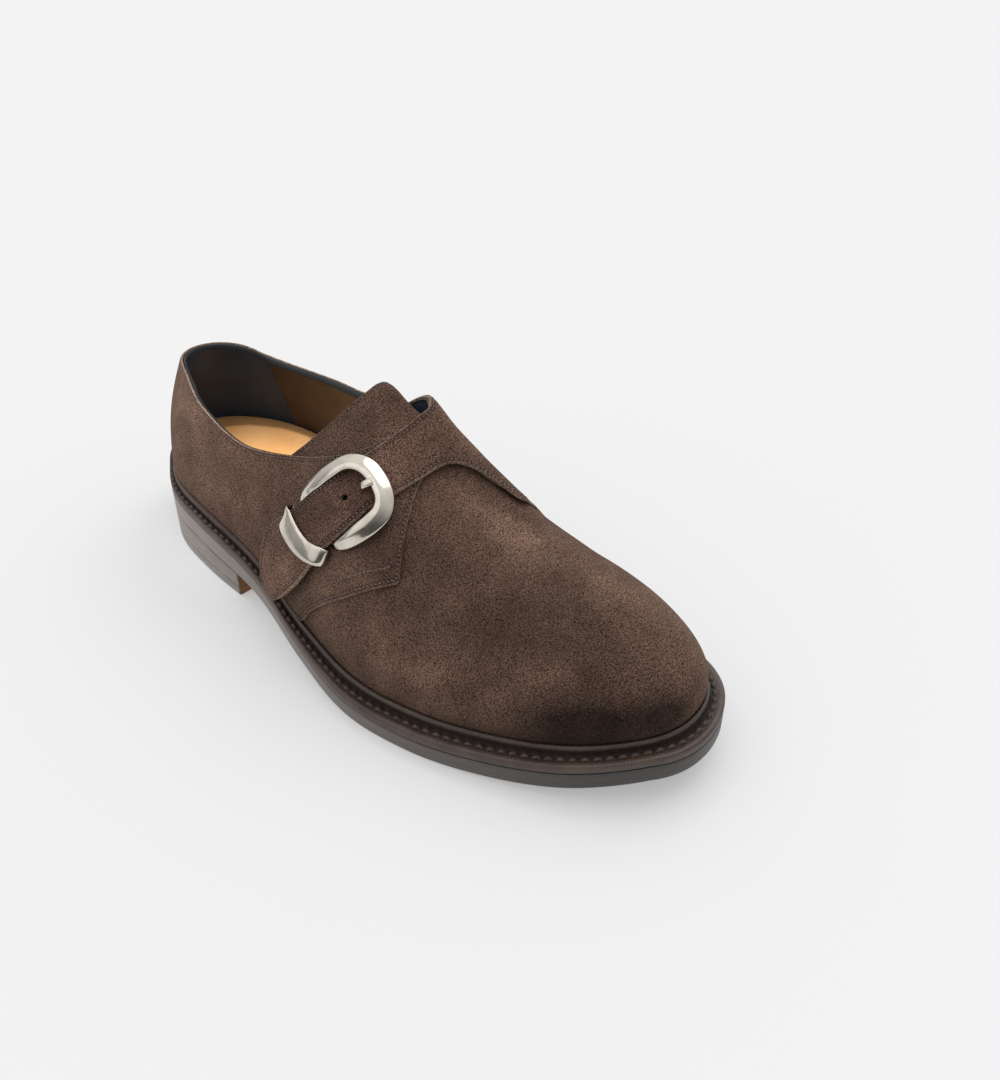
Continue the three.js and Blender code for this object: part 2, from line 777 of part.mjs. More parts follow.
// The heel follows the sole's edge back from its breast, a straight face across the shoe
function heelRing(inset, height) {
  const breast = angleOf(BREAST_SETBACK / LAST_LENGTH);
  return range(29, breast, -breast).map((angle) => soleEdge(angle, inset, height));
}

function heelStack() {
  return stack([
    heelRing(0, () => TOP_PIECE + GAP),
    heelRing(0, (share) => soleBottom(share) - GAP),
  ]);
}

function heelTopPiece() {
  return stack([
    heelRing(SOLE_CHAMFER, () => 0),
    heelRing(0, () => SOLE_CHAMFER),
    heelRing(0, () => TOP_PIECE),
  ]);
}

// The welt lies on the sole round the upper, with a raised ridge beside it and a channel outside that
function welt() {
  const rise = STORM_RIDGE - GAP;
  const profile = (edge) => [
    [edge, 0, WELT_SEAT],
    [edge, 1, -1],
    [edge - 1, 1, 0],
    [(edge + STORM_RIDGE_WIDTH) / 2 + 0.4, 1, -0.7],
    [STORM_RIDGE_WIDTH + GAP, 1, -0.4],
    [STORM_RIDGE_WIDTH - 0.2, 1, rise * 0.7],
    [STORM_RIDGE_WIDTH - 1.1, 1, rise],
    [GAP, 1, rise * 0.9],
  ];
  const columns = round(SOLE_POINTS).map((angle) => {
    const edge = overhang(feather(angle).share);
    const lines = profile(edge).map(([distance, over, extra]) => beside(angle, distance, (share) => (
      (over ? weltTop(share) : soleTop(share)) + extra)));
    return [beside(angle, GAP, (share) => soleTop(share) + WELT_SEAT), ...lines];
  });
  const triangles = [];
  columns.forEach((column, i) => {
    const after = columns[(i + 1) % columns.length];
    column.forEach((point, j) => {
      const next = (j + 1) % column.length;
      triangles.push(...quad(point, after[j], after[next], column[next]));
    });
  });
  return toGeometry(triangles);
}

// The insole board and its filler, inside the foot of the upper
function insole() {
  const inset = -UPPER_WALL - GAP - 0.1;
  const ring = (height) => round(SOLE_POINTS / 2).map((angle) => beside(angle, inset, height));
  return stack([
    ring((share) => soleTop(share) + GAP),
    ring((share) => featherHeight(share) + INSOLE_OVER_FEATHER),
  ]);
}

const suede = { color: 0x4a3b33, roughness: 0.95, metalness: 0 };
const strapSuede = { color: 0x43342d, roughness: 0.95, metalness: 0 };
const edgePaint = { color: 0x5d544f, roughness: 0.5, metalness: 0 };
const weltLeather = { color: 0x4a352d, roughness: 0.45, metalness: 0 };
const heelLeather = { color: 0x5d544f, roughness: 0.5, metalness: 0 };
const heelRubber = { color: 0x4c4642, roughness: 0.7, metalness: 0 };
const insoleLeather = { color: 0xc89a62, roughness: 0.6, metalness: 0 };
const polishedMetal = { color: 0xcfc8bd, roughness: 0.22, metalness: 1 };

const shoe = new THREE.Group();

function add(name, geometry, look) {
  const mesh = new THREE.Mesh(geometry, new THREE.MeshStandardMaterial(look));
  mesh.name = name;
  shoe.add(mesh);
}

add('outsole', outsole(), edgePaint);
add('heel_stack', heelStack(), heelLeather);
add('heel_top_piece', heelTopPiece(), heelRubber);
add('welt', welt(), weltLeather);
add('insole', insole(), insoleLeather);
add('upper', upper(), suede);
add('tongue', tongue(), suede);
add('strap', strap(), strapSuede);
add('buckle_frame', buckleFrame(), polishedMetal);
add('buckle_prong', buckleProng(), polishedMetal);
add('keeper_loop', keeperLoop(), polishedMetal);

// The origin is under the middle of the shoe, on the surface it stands on
const middle = new THREE.Box3().setFromObject(shoe).getCenter(new THREE.Vector3());
shoe.position.set(-middle.x, -middle.y, 0);

export default shoe;
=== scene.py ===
import math

import bmesh
import bpy
import numpy as np
from mathutils import Matrix, Vector


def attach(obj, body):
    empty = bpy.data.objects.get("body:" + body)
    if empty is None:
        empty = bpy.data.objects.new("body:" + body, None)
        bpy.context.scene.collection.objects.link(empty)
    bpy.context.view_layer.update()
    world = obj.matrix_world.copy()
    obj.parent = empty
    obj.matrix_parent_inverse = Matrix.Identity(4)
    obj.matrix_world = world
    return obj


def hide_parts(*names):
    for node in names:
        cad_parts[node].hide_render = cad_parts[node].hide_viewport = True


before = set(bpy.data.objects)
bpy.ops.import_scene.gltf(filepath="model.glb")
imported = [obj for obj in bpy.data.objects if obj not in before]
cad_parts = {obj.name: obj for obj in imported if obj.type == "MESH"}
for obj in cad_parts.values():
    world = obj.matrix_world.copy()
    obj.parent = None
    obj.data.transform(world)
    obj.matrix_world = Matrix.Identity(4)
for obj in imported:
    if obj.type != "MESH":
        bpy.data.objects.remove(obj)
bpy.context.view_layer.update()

MM = 0.001

# The right shoe of a pair of single monk straps in brown suede, toe towards -Y, buckle side at -X.
# Its skins are cut from one surface, the outside of the lasted upper, in millimetres. A place on it
# is an angle round the last, 0 at the heel and pi at the toe with the outer side first, and a share
# of the way up the side, from the feather line at the welt to the ridge along the instep.

# Sizes in millimetres
LAST_LENGTH = 288.0
BALL_WIDTH = 92.0
HEEL_RADIUS = 26.0
TOE_RADIUS = 32.0
INSTEP_HEIGHT = 100.0
TOE_SWING = 4.0
WALL_BULGE = 1.5
RIDGE_ROUNDING = 3.5
HEEL_RISE = 15.0
TOE_SPRING = 11.0
EDGE_HEIGHT = 10.6
WELT_HEIGHT = 3.5
WELT_OVERHANG = 7.4
STORM_RIDGE = 4.2
TOP_PIECE = 5.0
BREAST_SETBACK = 88.0
UPPER_WALL = 2.0
QUARTER_LAYER = 1.3
STRAP_THICKNESS = 2.0
BUCKLE_BAR = 1.5
SEAM_GAP = 0.3

# Where the last's own origin lies in the shoe's frame
LAST_ORIGIN = np.array([4.32, 1.96, 0.0])

# Half widths at the feather line, as shares of the ball width: place, outer side, inner side
OUTLINE = np.array([
    [0.05, 0.230, 0.255], [0.12, 0.355, 0.355], [0.22, 0.415, 0.385], [0.36, 0.450, 0.325],
    [0.50, 0.545, 0.345], [0.62, 0.595, 0.425], [0.72, 0.560, 0.470], [0.82, 0.473, 0.463],
    [0.91, 0.356, 0.374], [0.97, 0.212, 0.240]])
# Underside of the sole: place, share of the heel rise, share of the toe spring
SOLE_LINE = np.array([
    [0.00, 1.00, 0], [0.12, 0.98, 0], [0.26, 0.88, 0], [0.40, 0.53, 0], [0.50, 0.26, 0], [0.59, 0.06, 0],
    [0.65, 0.00, 0], [0.73, 0.00, 0], [0.82, 0.00, 0.14], [0.91, 0.00, 0.48], [1.00, 0.00, 1.00]])
# Height of sole and welt: place, share of the edge height
EDGE_LINE = np.array([[0, 1.20], [0.25, 1.18], [0.45, 0.96], [0.65, 0.94], [0.85, 1.02], [1, 1.03]])
# How far the welt stands out: place, share of the overhang
WELT_LINE = np.array([[0, 0.51], [0.25, 0.62], [0.42, 0.65], [0.65, 1.00], [1, 1.04]])
# The ridge along the instep: place, share of the instep height, shift as a share of the ball width
RIDGE = np.array([
    [0.13, 1.12, 0.01], [0.30, 1.11, 0.055], [0.42, 1.04, 0.10], [0.52, 0.925, 0.13], [0.62, 0.755, 0.13],
    [0.72, 0.63, 0.12], [0.80, 0.58, 0.103], [0.87, 0.555, 0.076], [1.00, 0.47, 0.046]])
RIDGE_START, RIDGE_END = 0.13, 0.87
# How full the cross section is: place, exponent of its superellipse
FULLNESS = np.array([[0, 1.44], [0.25, 1.36], [0.42, 1.40], [0.62, 1.70], [0.80, 1.92], [1, 2.34]])
# The topline of the collar: place, share up the outer side, share up the inner side
TOPLINE = np.array([
    [0.00, 0.515, 0.515], [0.05, 0.51, 0.50], [0.09, 0.50, 0.455], [0.13, 0.468, 0.44], [0.18, 0.44, 0.455],
    [0.24, 0.42, 0.50], [0.28, 0.425, 0.55], [0.32, 0.458, 0.60], [0.38, 0.53, 0.68], [0.44, 0.62, 0.76],
    [0.50, 0.755, 0.86], [0.53, 0.88, 0.94], [0.56, 1.00, 1.00]])

# Cutting patterns. Each row gives one line across the piece, from its upper to its lower edge, as
# place and share down from the ridge. A place behind zero lies past the heel on the inner side, and
# a negative share down lies over the ridge on the inner side.
OUTER_QUARTER_FOOT = [
    (-0.07, -0.07), (-0.035, -0.035), (0.0, 0.0), (0.035, 0.035), (0.07, 0.07), (0.105, 0.11), (0.14, 0.15),
    (0.175, 0.19), (0.21, 0.235), (0.245, 0.28), (0.28, 0.325), (0.31, 0.37), (0.34, 0.415), (0.365, 0.455)]
OUTER_QUARTER_FRONT = [
    (0.385, 0.490, 0.985), (0.405, 0.513, 0.900), (0.420, 0.540, 0.820), (0.435, 0.570, 0.744),
    (0.450, 0.612, 0.637), (0.462, 0.640, 0.572), (0.474, 0.6465, 0.554), (0.485, 0.6425, 0.520),
    (0.497, 0.6250, 0.412), (0.508, 0.612, 0.312), (0.520, 0.600, 0.200)]
OUTER_QUARTER_TAB = [
    (0.535, 0.100, 0.602, 0.100), (0.560, 0.0, 0.643, 0.0), (0.572, -0.05, 0.678, -0.05),
    (0.590, -0.10, 0.690, -0.10), (0.600, -0.13, 0.680, -0.135)]
INNER_QUARTER_FOOT = [
    (0.055, 0.055), (0.09, 0.10), (0.125, 0.15), (0.16, 0.20), (0.195, 0.25), (0.23, 0.30), (0.265, 0.35),
    (0.295, 0.40), (0.32, 0.44), (0.345, 0.48)]
INNER_QUARTER_FRONT = [
    (0.365, 0.365, 0.510, 0.985), (0.382, 0.345, 0.540, 0.900), (0.397, 0.320, 0.580, 0.810),
    (0.411, 0.296, 0.620, 0.720), (0.424, 0.270, 0.660, 0.630), (0.434, 0.245, 0.693, 0.568),
    (0.442, 0.224, 0.7005, 0.552), (0.449, 0.203, 0.6975, 0.515), (0.457, 0.180, 0.692, 0.420),
    (0.466, 0.154, 0.698, 0.300), (0.478, 0.124, 0.712, 0.200), (0.491, 0.093, 0.724, 0.130),
    (0.504, 0.063, 0.722, 0.092), (0.518, 0.032, 0.695, 0.045)]
STRAP_ROWS = [
    (0.532, 0.657, 0.00), (0.533, 0.629, 0.05), (0.532, 0.614, 0.10), (0.520, 0.600, 0.20),
    (0.503, 0.583, 0.30), (0.484, 0.564, 0.40), (0.462, 0.550, 0.50), (0.440, 0.529, 0.60),
    (0.424, 0.518, 0.66), (0.408, 0.510, 0.71), (0.3965, 0.502, 0.76), (0.3935, 0.491, 0.82),
    (0.3955, 0.479, 0.87), (0.3995, 0.468, 0.91), (0.4045, 0.458, 0.94), (0.411, 0.450, 0.96),
    (0.421, 0.443, 0.972)]
# How far the strap is lifted to pass over the buckle's bar: share down, share of the full lift
STRAP_LIFT = np.array([
    [0.0, 0.0], [0.28, 0.0], [0.35, 0.25], [0.41, 1.0], [0.60, 1.0], [0.66, 1.0], [0.71, 0.95], [0.76, 0.9],
    [0.82, 1.0], [0.90, 1.5], [1.0, 2.2], [1.04, 2.3]])
TONGUE_ROWS = [
    (0.385, -0.50), (0.397, -0.35), (0.412, -0.22), (0.425, -0.11), (0.436, -0.04), (0.437, 0.0),
    (0.4335, 0.04), (0.429, 0.09), (0.420, 0.16), (0.410, 0.24), (0.396, 0.325), (0.380, 0.41),
    (0.366, 0.475), (0.355, 0.53)]
TONGUE_FRONT = 0.60

# The buckle's centre line: place, share down, height over the strap's seat, width and thickness in mm
BUCKLE_LINE = [
    (0.4420, 0.552, 1.6, 6.0, 2.6), (0.4500, 0.501, 2.5, 7.0, 2.9), (0.4620, 0.451, 3.3, 7.2, 3.2),
    (0.4758, 0.397, 3.9, 7.0, 3.5), (0.4900, 0.348, 4.4, 6.7, 3.6), (0.5083, 0.317, 4.6, 6.8, 3.6),
    (0.5317, 0.306, 4.7, 7.1, 3.6), (0.5571, 0.319, 4.7, 7.0, 3.6), (0.5755, 0.346, 4.6, 6.9, 3.6),
    (0.5833, 0.388, 4.4, 7.3, 3.6), (0.5790, 0.436, 4.0, 7.6, 3.6), (0.5675, 0.494, 3.3, 7.2, 3.4),
    (0.5550, 0.545, 2.5, 5.8, 3.0), (0.5430, 0.580, 1.8, 4.2, 2.6), (0.5310, 0.601, 1.1, 2.4, 2.0),
    (0.5150, 0.597, 0.75, 1.5, 1.5), (0.4900, 0.590, 0.75, 1.5, 1.5), (0.4600, 0.581, 0.8, 1.7, 1.5)]
# The prong: place, share down, height
PRONG_LINE = [
    (0.500, 0.576, 0.7), (0.512, 0.500, 0.7), (0.5260, 0.420, 0.8), (0.5350, 0.385, 1.6),
    (0.5390, 0.371, 4.4), (0.5425, 0.360, 6.3), (0.5460, 0.348, 6.7), (0.5500, 0.3315, 6.7)]
# The keeper: place, share down, height, width. Its last rows are the flat return under the strap
KEEPER_LINE = [
    (0.4325, 0.6535, 4.5, 9.0), (0.4434, 0.6645, 5.1, 8.8), (0.4621, 0.675, 5.3, 8.6),
    (0.4783, 0.680, 5.3, 8.3), (0.4953, 0.680, 5.2, 8.0), (0.5100, 0.673, 4.8, 7.8),
    (0.5200, 0.6655, 4.1, 7.6), (0.5262, 0.660, 2.8, 7.0), (0.5265, 0.657, 1.4, 6.4),
    (0.5200, 0.656, 0.55, 5.0), (0.4960, 0.656, 0.5, 4.4), (0.4600, 0.652, 0.55, 4.4),
    (0.4380, 0.647, 0.65, 5.0), (0.4300, 0.645, 1.5, 7.0), (0.4285, 0.647, 3.1, 8.2)]
# Place and share down
SPARE_HOLE = (0.5200, 0.438)


# Curves and the lasted surface


def smooth(at, rows, column=1):
    """Cubic pieces through table rows, whose slopes are the weighted mean of the steps beside a row."""
    places, values = rows[:, 0], rows[:, column]
    slopes = np.gradient(values, places)
    at = np.clip(at, places[0], places[-1])
    i = np.clip(np.searchsorted(places, at) - 1, 0, len(places) - 2)
    step = places[i + 1] - places[i]
    t = (at - places[i]) / step
    u = 1 - t
    rise = u * u * (1 + 2 * t) * values[i] + t * t * (3 - 2 * t) * values[i + 1]
    return rise + t * u * step * (u * slopes[i] - t * slopes[i + 1])


def through(rows, count, closed=False):
    """Catmull-Rom curve through the rows: each piece is the cubic whose end slopes are half the step
    from the row before to the row after. Points are even in row number."""
    rows = np.asarray(rows, float)
    n = len(rows)
    t = np.linspace(0, n if closed else n - 1, count, endpoint=not closed)
    i = np.minimum(np.floor(t).astype(int), n - 1 if closed else n - 2)
    f = (t - i)[:, None]
    a, b, c, d = (rows[(i + k) % n] if closed else rows[np.clip(i + k, 0, n - 1)] for k in (-1, 0, 1, 2))
    return b + 0.5 * f * (c - a + f * (2 * a - 5 * b + 4 * c - d + f * (3 * (b - c) + d - a)))


def bell(x, centre, spread):
    """Gaussian bump of height one."""
    return np.exp(-((x - centre) / spread) ** 2)


def step_up(x, start, end):
    """Smooth step from 0 at start to 1 at end: t squared times (3 - 2 t)."""
    t = np.clip((x - start) / (end - start), 0, 1)
    return t * t * (3 - 2 * t)


def share_of(angle):
    """Place along the last of an angle round it: 0 at the heel and 1 at the toe."""
    return (1 - np.cos(angle)) / 2


def angle_of(share):
    """Angle round the last of a signed place along it, negative past the heel."""
    return np.arccos(1 - 2 * np.abs(share)) * np.where(np.asarray(share) < 0, -1.0, 1.0)


def place_of(y):
    """Share of the last's length, from the heel, of a y."""
    return np.clip((LAST_LENGTH / 2 - y) / LAST_LENGTH, 0, 1)


def half_width(angle, column):
    """Half width at an angle: its sine times a smooth curve, whose ends give the round heel and toe."""
    places = np.arccos(1 - 2 * OUTLINE[:, 0])
    widths = OUTLINE[:, column] * BALL_WIDTH / np.sin(places)
    ends = np.sqrt(np.array([HEEL_RADIUS, TOE_RADIUS]) * LAST_LENGTH / 2)
    rows = np.stack([np.r_[0, places, math.pi], np.r_[ends[0], widths, ends[1]]], 1)
    return np.sin(angle) * smooth(angle, rows)


def swing(y):
    """The front half turns to the inner side with the square of the way ahead."""
    return TOE_SWING * np.clip((place_of(y) - 0.45) / 0.55, 0, 1) ** 2


def sole_bottom(share):
    """Height of the sole's underside: the heel rise and the toe spring, each by its share."""
    rise = np.maximum(0, smooth(share, SOLE_LINE, 1)) * HEEL_RISE
    return rise + np.maximum(0, smooth(share, SOLE_LINE, 2)) * TOE_SPRING


def welt_top(share):
    """The sole's underside, plus the edge height by its share."""
    return sole_bottom(share) + smooth(share, EDGE_LINE) * EDGE_HEIGHT


def sole_top(share):
    """Where the welt lies on the sole."""
    return welt_top(share) - WELT_HEIGHT


def feather_height(share):
    """Height of the feather line, a storm ridge above the welt's top."""
    return welt_top(share) + STORM_RIDGE


def feather(angle):
    """Feather line at an angle: x, y and the place along the last."""
    angle = np.mod(angle, 2 * math.pi)
    fold = np.where(angle <= math.pi, angle, 2 * math.pi - angle)
    y = LAST_LENGTH / 2 - share_of(fold) * LAST_LENGTH
    x = np.where(angle <= math.pi, -half_width(fold, 1), half_width(fold, 2))
    return x + swing(y), y, share_of(fold)


def outward(angle):
    """Level unit vector square to the feather line."""
    ax, ay, _ = feather(angle - 1e-3)
    bx, by, _ = feather(angle + 1e-3)
    way = np.stack([by - ay, ax - bx], -1)
    return way / np.linalg.norm(way, axis=-1, keepdims=True)


def beside(angle, distance, height):
    """Points outside the feather line by a distance, at a height that depends on the place."""
    x, y, _ = feather(angle)
    way = outward(angle)
    py = y + way[:, 1] * distance
    return np.stack([x + way[:, 0] * distance, py, height(place_of(py))], -1)


# Grid of the lasted surface: steps round the last, steps up a rib, and points that shape a rib
COLUMNS, ROWS, RIB_POINTS = 1440, 320, 193


def lasted_surface():
    """Ribs run from the feather line to the ridge as superellipse quarters: inwards by one minus the
    cosine, and upwards by the sine, each to the power two over the fullness, with a low bulge near the
    foot. Each rib is cut into even lengths, and the ridge is rounded by repeated averaging."""
    angle = np.linspace(0, 2 * math.pi, COLUMNS + 1)
    x, y, share = feather(angle)
    way = outward(angle)
    along = RIDGE_START + (RIDGE_END - RIDGE_START) * share
    ridge_y = LAST_LENGTH / 2 - along * LAST_LENGTH
    ridge_x = smooth(along, RIDGE, 2) * BALL_WIDTH + swing(ridge_y)
    power = (2 / smooth(share, FULLNESS))[:, None]
    turn = np.linspace(0, math.pi / 2, RIB_POINTS)[None]
    inwards = 1 - np.maximum(np.cos(turn), 0) ** power
    upwards = np.sin(turn) ** power
    py = y[:, None] + (ridge_y - y)[:, None] * inwards
    crest = INSTEP_HEIGHT * smooth(place_of(py), RIDGE, 1)
    foot = feather_height(share)[:, None]
    # The peak of the bulge is a third of the way up, where 6.75 makes its height one
    bulge = WALL_BULGE * 6.75 * upwards * (1 - upwards) ** 2
    ribs = np.stack([
        x[:, None] + (ridge_x - x)[:, None] * inwards + way[:, :1] * bulge,
        py + way[:, 1:] * bulge,
        foot + (crest - foot) * upwards], -1)
    travel = np.cumsum(np.linalg.norm(np.diff(ribs, axis=1), axis=2), axis=1)
    travel = np.concatenate([np.zeros((len(angle), 1)), travel], 1)
    even = np.linspace(0, 1, ROWS + 1)
    points = np.stack([
        np.stack([np.interp(even, t / t[-1], rib[:, k]) for k in range(3)], -1)
        for t, rib in zip(travel, ribs)])
    # The top fifth of each rib is averaged, over the ridge with the rib of the other side
    step = np.linalg.norm(points[COLUMNS // 4, 0] - points[COLUMNS // 4, 1])
    band = ROWS // 5
    for _ in range(int(round(2 * RIDGE_ROUNDING ** 2 / step ** 2))):
        top = points[:, -band - 2:]
        beyond = points[::-1, -2:-1]
        above = np.concatenate([top[:, 2:], beyond], 1)
        points[:, -band - 1:] = (top[:, :-1] + above) / 4 + top[:, 1:] / 2
    ring = points[:-1]
    round_way = np.roll(ring, -1, 0) - np.roll(ring, 1, 0)
    round_way = np.concatenate([round_way, round_way[:1]])
    up_way = np.gradient(points, axis=1)
    normals = np.cross(round_way, up_way)
    normals /= np.maximum(np.linalg.norm(normals, axis=2, keepdims=True), 1e-12)
    crown = normals[:, -3] + normals[::-1, -3]
    crown /= np.linalg.norm(crown, axis=1, keepdims=True)
    normals[:, -1] = crown
    normals[:, -2] = normals[:, -3] + crown
    normals /= np.linalg.norm(normals, axis=2, keepdims=True)
    return points, normals, travel[:, -1]


SKIN, NORMALS, RIB_LENGTHS = lasted_surface()
FOOT_WAY = SKIN[:, 1] - SKIN[:, 0]
FOOT_WAY /= np.linalg.norm(FOOT_WAY, axis=1, keepdims=True)


def on_last(angle, up, lift=0.0):
    """Points of the lasted surface, by bilinear mixing of its grid, lifted along the normal. Below the
    feather line the surface goes straight on."""
    angle, up, lift = np.broadcast_arrays(np.asarray(angle, float), up, lift)
    column = np.mod(angle, 2 * math.pi) / (2 * math.pi) * COLUMNS
    row = np.clip(up, 0, 1) * ROWS
    i = np.minimum(column.astype(int), COLUMNS - 1)
    j = np.minimum(row.astype(int), ROWS - 1)
    f, g = (column - i)[..., None], (row - j)[..., None]

    def mix(grid):
        low = grid[i, j] * (1 - f) + grid[i + 1, j] * f
        high = grid[i, j + 1] * (1 - f) + grid[i + 1, j + 1] * f
        return low * (1 - g) + high * g

    normal = mix(NORMALS)
    normal /= np.linalg.norm(normal, axis=-1, keepdims=True)
    below = (np.minimum(up, 0) * RIB_LENGTHS[i])[..., None] * FOOT_WAY[i]
    return mix(SKIN) + below + normal * lift[..., None]


def pattern_place(share_angle, down, lift=0.0):
    """Point of a cutting pattern: the signs of the angle and of the share down give the side."""
    outer = share_angle * down >= 0
    angle = np.where(outer, np.abs(share_angle), 2 * math.pi - np.abs(share_angle))
    return on_last(angle, 1 - np.abs(down), lift)


def at_place(share, down, lift=0.0):
    """The same for a plain place ahead of the heel."""
    return pattern_place(angle_of(share), np.asarray(down, float), lift)


def topline(share, side):
    """Share down from the ridge of the collar's edge at a place on a side, 1 outer and 2 inner."""
    return 1 - np.minimum(1, smooth(np.abs(share), TOPLINE, side))


# Meshes


def to_frame(points):
    """Millimetres on the last to metres in the shoe's frame."""
    return (np.asarray(points, float).reshape(-1, 3) + LAST_ORIGIN) * MM


def make_piece(name, points, faces, material, replaces=(), uv=None, marks=None, sharp=40):
    """One mesh object from points in millimetres and a list of face arrays. Sheets of marks become
    point attributes, and uv, in metres, becomes a UV map."""
    mesh = bpy.data.meshes.new(name)
    mesh.from_pydata(to_frame(points), [], [face for block in faces for face in block.tolist()])
    mesh.polygons.foreach_set("use_smooth", np.ones(len(mesh.polygons), bool))
    for mark, values in (marks or {}).items():
        layer = mesh.attributes.new(mark, "FLOAT", "POINT")
        layer.data.foreach_set("value", np.asarray(values, np.float32).ravel())
    if uv is not None:
        corners = np.zeros(len(mesh.loops), np.int32)
        mesh.loops.foreach_get("vertex_index", corners)
        layer = mesh.uv_layers.new(name="pattern")
        layer.data.foreach_set("uv", np.asarray(uv, np.float32).reshape(-1, 2)[corners].ravel())
    mesh.validate()
    piece = bpy.data.objects.new(name, mesh)
    bpy.context.collection.objects.link(piece)
    mesh.materials.append(material)
    weld(piece)
    mesh.set_sharp_from_angle(angle=math.radians(sharp))
    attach(piece, "root")
    if replaces:
        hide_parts(*replaces)


def weld(piece):
    """Merges points that lie together, within 2 micrometres, then turns every face outwards."""
    work = bmesh.new()
    work.from_mesh(piece.data)
    bmesh.ops.remove_doubles(work, verts=work.verts, dist=2e-6)
    bmesh.ops.recalc_face_normals(work, faces=work.faces)
    work.to_mesh(piece.data)
    work.free()


def grid_faces(rows, columns, wrap_rows=False, wrap_columns=False, start=0):
    """Quads of a grid of points numbered row by row."""
    i = np.arange(rows if wrap_rows else rows - 1)[:, None]
    j = np.arange(columns if wrap_columns else columns - 1)[None]
    a, b = i * columns + j, ((i + 1) % rows) * columns + j
    c, d = ((i + 1) % rows) * columns + (j + 1) % columns, i * columns + (j + 1) % columns
    return np.stack([a, b, c, d], -1).reshape(-1, 4) + start


def ring_faces(rings):
    """Quads of a stack of rings that closes on itself."""
    return [grid_faces(*rings.shape[:2], wrap_rows=True, wrap_columns=True)]


def capped_faces(rings, count):
    """Side quads of a stack of rings, with strips from side to side across its two ends."""
    sides = grid_faces(rings, count, wrap_columns=True)
    i = np.arange(count // 2 - 1)
    j = count - 1 - i
    floor = np.stack([i + 1, i, j, j - 1], -1)
    roof = floor[:, ::-1] + (rings - 1) * count
    return [sides, floor, roof]


def two_sided(outer, inner):
    """Points and faces of a sheet with an inner face that is joined to the outer one all round."""
    rows, columns = outer.shape[:2]
    n = rows * columns
    rim = np.concatenate([
        np.arange(columns), np.arange(1, rows) * columns + columns - 1,
        np.arange(columns - 2, -1, -1) + (rows - 1) * columns, np.arange(rows - 2, 0, -1) * columns])
    after = np.roll(rim, -1)
    faces = [grid_faces(rows, columns), grid_faces(rows, columns, start=n)[:, ::-1],
             np.stack([rim, after, after + n, rim + n], -1)]
    return np.concatenate([outer.reshape(-1, 3), inner.reshape(-1, 3)]), faces


def travelled(points):
    """Length along a line of points, from its start."""
    return np.r_[0, np.cumsum(np.linalg.norm(np.diff(points, axis=0), axis=1))]


# Leather panels

# In mm: the rounding of a cut edge, how far stitch rows lie inside it, and the pitch of the thread
PANEL_EDGE = 0.45
STITCH_INSET = 1.7
COLLAR_INSET = 1.3
SECOND_INSET = 7.2
THREAD_PITCH = 1.75
# How deep a row of stitches presses in, how far the leather swells beside it, in mm, and how much painted
# shade darkens the row
STITCH_PRESS = 0.28
STITCH_SWELL = 0.10
STITCH_PAINTED_SHADE = 0.45


